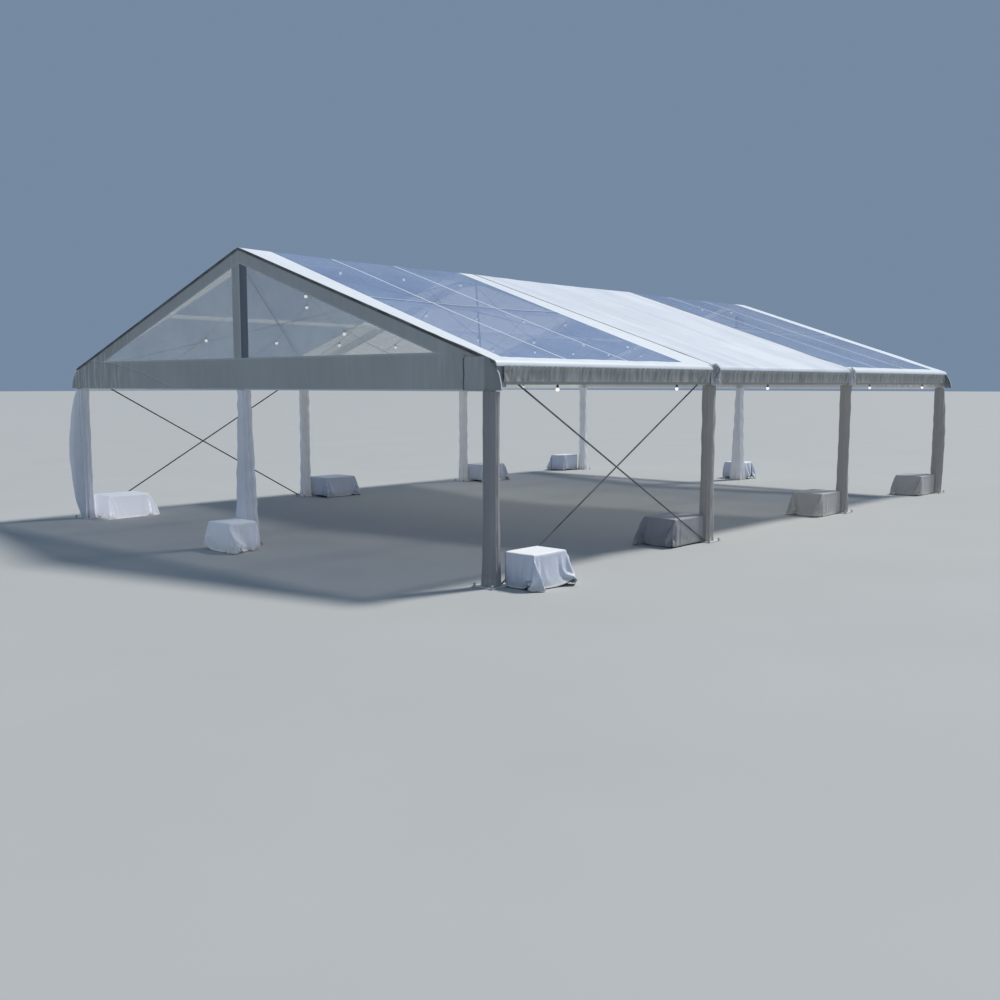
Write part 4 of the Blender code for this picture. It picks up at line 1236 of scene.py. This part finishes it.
def build_fittings():
    """Bolted plates at the knees and the ridge, and pegs through the corners of the foot plates."""
    plates, fastened, feet = Piece(), Piece(), Piece()
    face = RAFTER_FACE + 0.003
    washer = turned_profile([(0, 0), (0.014, 0), (0.014, 0.002), (0.012, 0.003), (0, 0.003)], 12)
    head = turned_profile([(0, 0.003), (0.010, 0.003), (0.010, 0.008), (0.008, 0.010), (0, 0.010)], 6)
    grid_x, grid_z = np.meshgrid(*BOLT_ROWS)
    spots = np.c_[grid_x.ravel(), grid_z.ravel()]
    for y, face_way, side in itertools.product(FRAMES, (-1, 1), (-1, 1)):
        if abs(y + face_way * 0.1) > FRAMES[-1]:
            continue
        outward = np.array([0.0, face_way, 0.0])
        first = np.array([side * COS, 0, -SIN]) * (-side * face_way)
        second = np.cross(outward, first)
        for along, drop, height, length in (KNEE, APEX):
            place = np.array([side * along * COS, y + face_way * face, RIDGE - along * SIN - drop])
            plate = slab(rounded_box(length, height), PLATE_THICKNESS)
            plates.grid(set_at(plate, place, first, second))
            places = place + outward * PLATE_THICKNESS / 2 + spots[:, :1] * first + spots[:, 1:] * second
            for part in (washer, head):
                fastened.grid(set_at(part, places, first, second))
    profile = [(0, 0.0125), (0.020, 0.0125), (0.020, 0.016), (0.013, 0.018), (0.013, 0.034), (0.019, 0.036),
               (0.019, 0.044), (0.015, 0.049), (0, 0.050)]
    stands = [(x, y) for y in FRAMES for x in (-HALF, HALF)] + [(0.0, FRAMES[0]), (0.0, FRAMES[-1])]
    spread = (-PEG_SPREAD, PEG_SPREAD)
    feet.grid(set_at(turned_profile(profile, 14), [(x + a, y + b, 0.0) for x, y in stands
                                                   for a in spread for b in spread]))
    plates.make("rafter_plates", EDGE_RAIL, "frame_aluminium", sharp=35)
    fastened.make("bolts", STEEL, "frame_aluminium", sharp=35)
    feet.make("foot_pegs", STEEL, "frame_aluminium", sharp=35)


def swept_rail(outline, at):
    """A rail's outline of offset along the ridge and lift, swept over the roof from eave to eave at
    that place along the ridge, its ends closed by a point."""
    half = np.linspace(0, SLOPE_END + 0.02, 60)
    s = np.concatenate([-half[:0:-1], half])
    outline = np.array(outline + outline[:1])
    swept = on_tent(s[:, None], at + outline[None, :, 0], outline[None, :, 1])
    ends = [np.tile(swept[i].mean(0), (1, len(outline), 1)) for i in (0, -1)]
    return np.concatenate([ends[0], swept, ends[1]])


def build_rails():
    """The sheets' edge rails: a dark rail under each gable's edge and a thin one over each inner frame,
    where the two sheets' corded edges run in its slots. Then a cord loop at each end of those."""
    for end, word in ENDS.items():
        outline = [(-0.010, -0.040), (0.007, -0.040), (0.011, -0.034), (0.011, -0.006), (0.007, -0.0035),
                   (-0.010, -0.0035)]
        rail = swept_rail([(end * a, b) for a, b in outline], end * GABLE_FACE)
        Piece().grid(rail, flip=end > 0).make(f"edge_rail_{word}", DARK_EDGE, "frame_aluminium", sharp=35)
    rails, loops = Piece(), Piece()
    angle = np.linspace(-2.4, 2.4, 15)
    for y in FRAMES[1:3]:
        half = JOINT_HALF - 0.002
        outline = [(-half, -0.006), (half, -0.006), (half, 0.001), (half / 2, 0.004), (-half / 2, 0.004),
                   (-half, 0.001)]
        rails.grid(swept_rail(outline, y), flip=True)
        for side in (-1, 1):
            along = side * (SLOPE_END + 0.015 + 0.022 * np.cos(angle))
            loop = on_tent(along, y + 0.012 * np.sin(2 * angle), 0.012 + 0.020 * np.sin(angle))
            loops.grid(tube(loop, LOOP_CORD, 8))
    rails.make("joint_rails", DARK_EDGE, "frame_aluminium", sharp=35)
    loops.make("joint_loops", DARK_EDGE, "cable_rubber")


def build_stage():
    """A pale floor, a pale sky and soft light from high behind the right side."""
    square = [(x * FLOOR, y * FLOOR, FLOOR_LEVEL) for x, y in ((-1, -1), (1, -1), (1, 1), (-1, 1))]
    floor = placed("floor", square, [(0, 1, 2, 3)])
    finish = Finish("pale_floor", Roughness=0.8)
    finish.set("Base Color", finish.mix((0.43, 0.44, 0.43), (0.47, 0.48, 0.47), finish.noise(0.4, 3.0)))
    floor.data.materials.append(finish.material)
    world = bpy.data.worlds.new("studio")
    world.use_nodes = True
    back = world.node_tree.nodes["Background"]
    back.inputs["Color"].default_value = (0.50, 0.70, 1.0, 1.0)
    back.inputs["Strength"].default_value = 0.36
    bpy.context.scene.world = world
    bpy.context.scene.view_settings.view_transform = "Standard"
    sun = bpy.data.objects.new("key_light", bpy.data.lights.new("key_light", "SUN"))
    sun.data.energy = 3.1
    sun.data.angle = math.radians(9)
    sun.data.color = (1.0, 0.97, 0.92)
    sun.rotation_euler = [math.radians(turn) for turn in SUN_TURN]
    bpy.context.scene.collection.objects.link(sun)


def build_camera():
    """The photograph's view."""
    data = bpy.data.cameras.new("camera")
    data.lens = CAMERA_LENS
    data.sensor_width = 36.0
    data.clip_end = 900.0
    camera = bpy.data.objects.new("camera", data)
    camera.location = CAMERA_PLACE
    camera.rotation_euler = [math.radians(turn) for turn in CAMERA_TURN]
    bpy.context.scene.collection.objects.link(camera)
    bpy.context.scene.camera = camera


build_camera()
finish_frame()
build_festoons()
build_sheets()
build_cloths()
build_weights()
build_fittings()
build_rails()
build_stage()
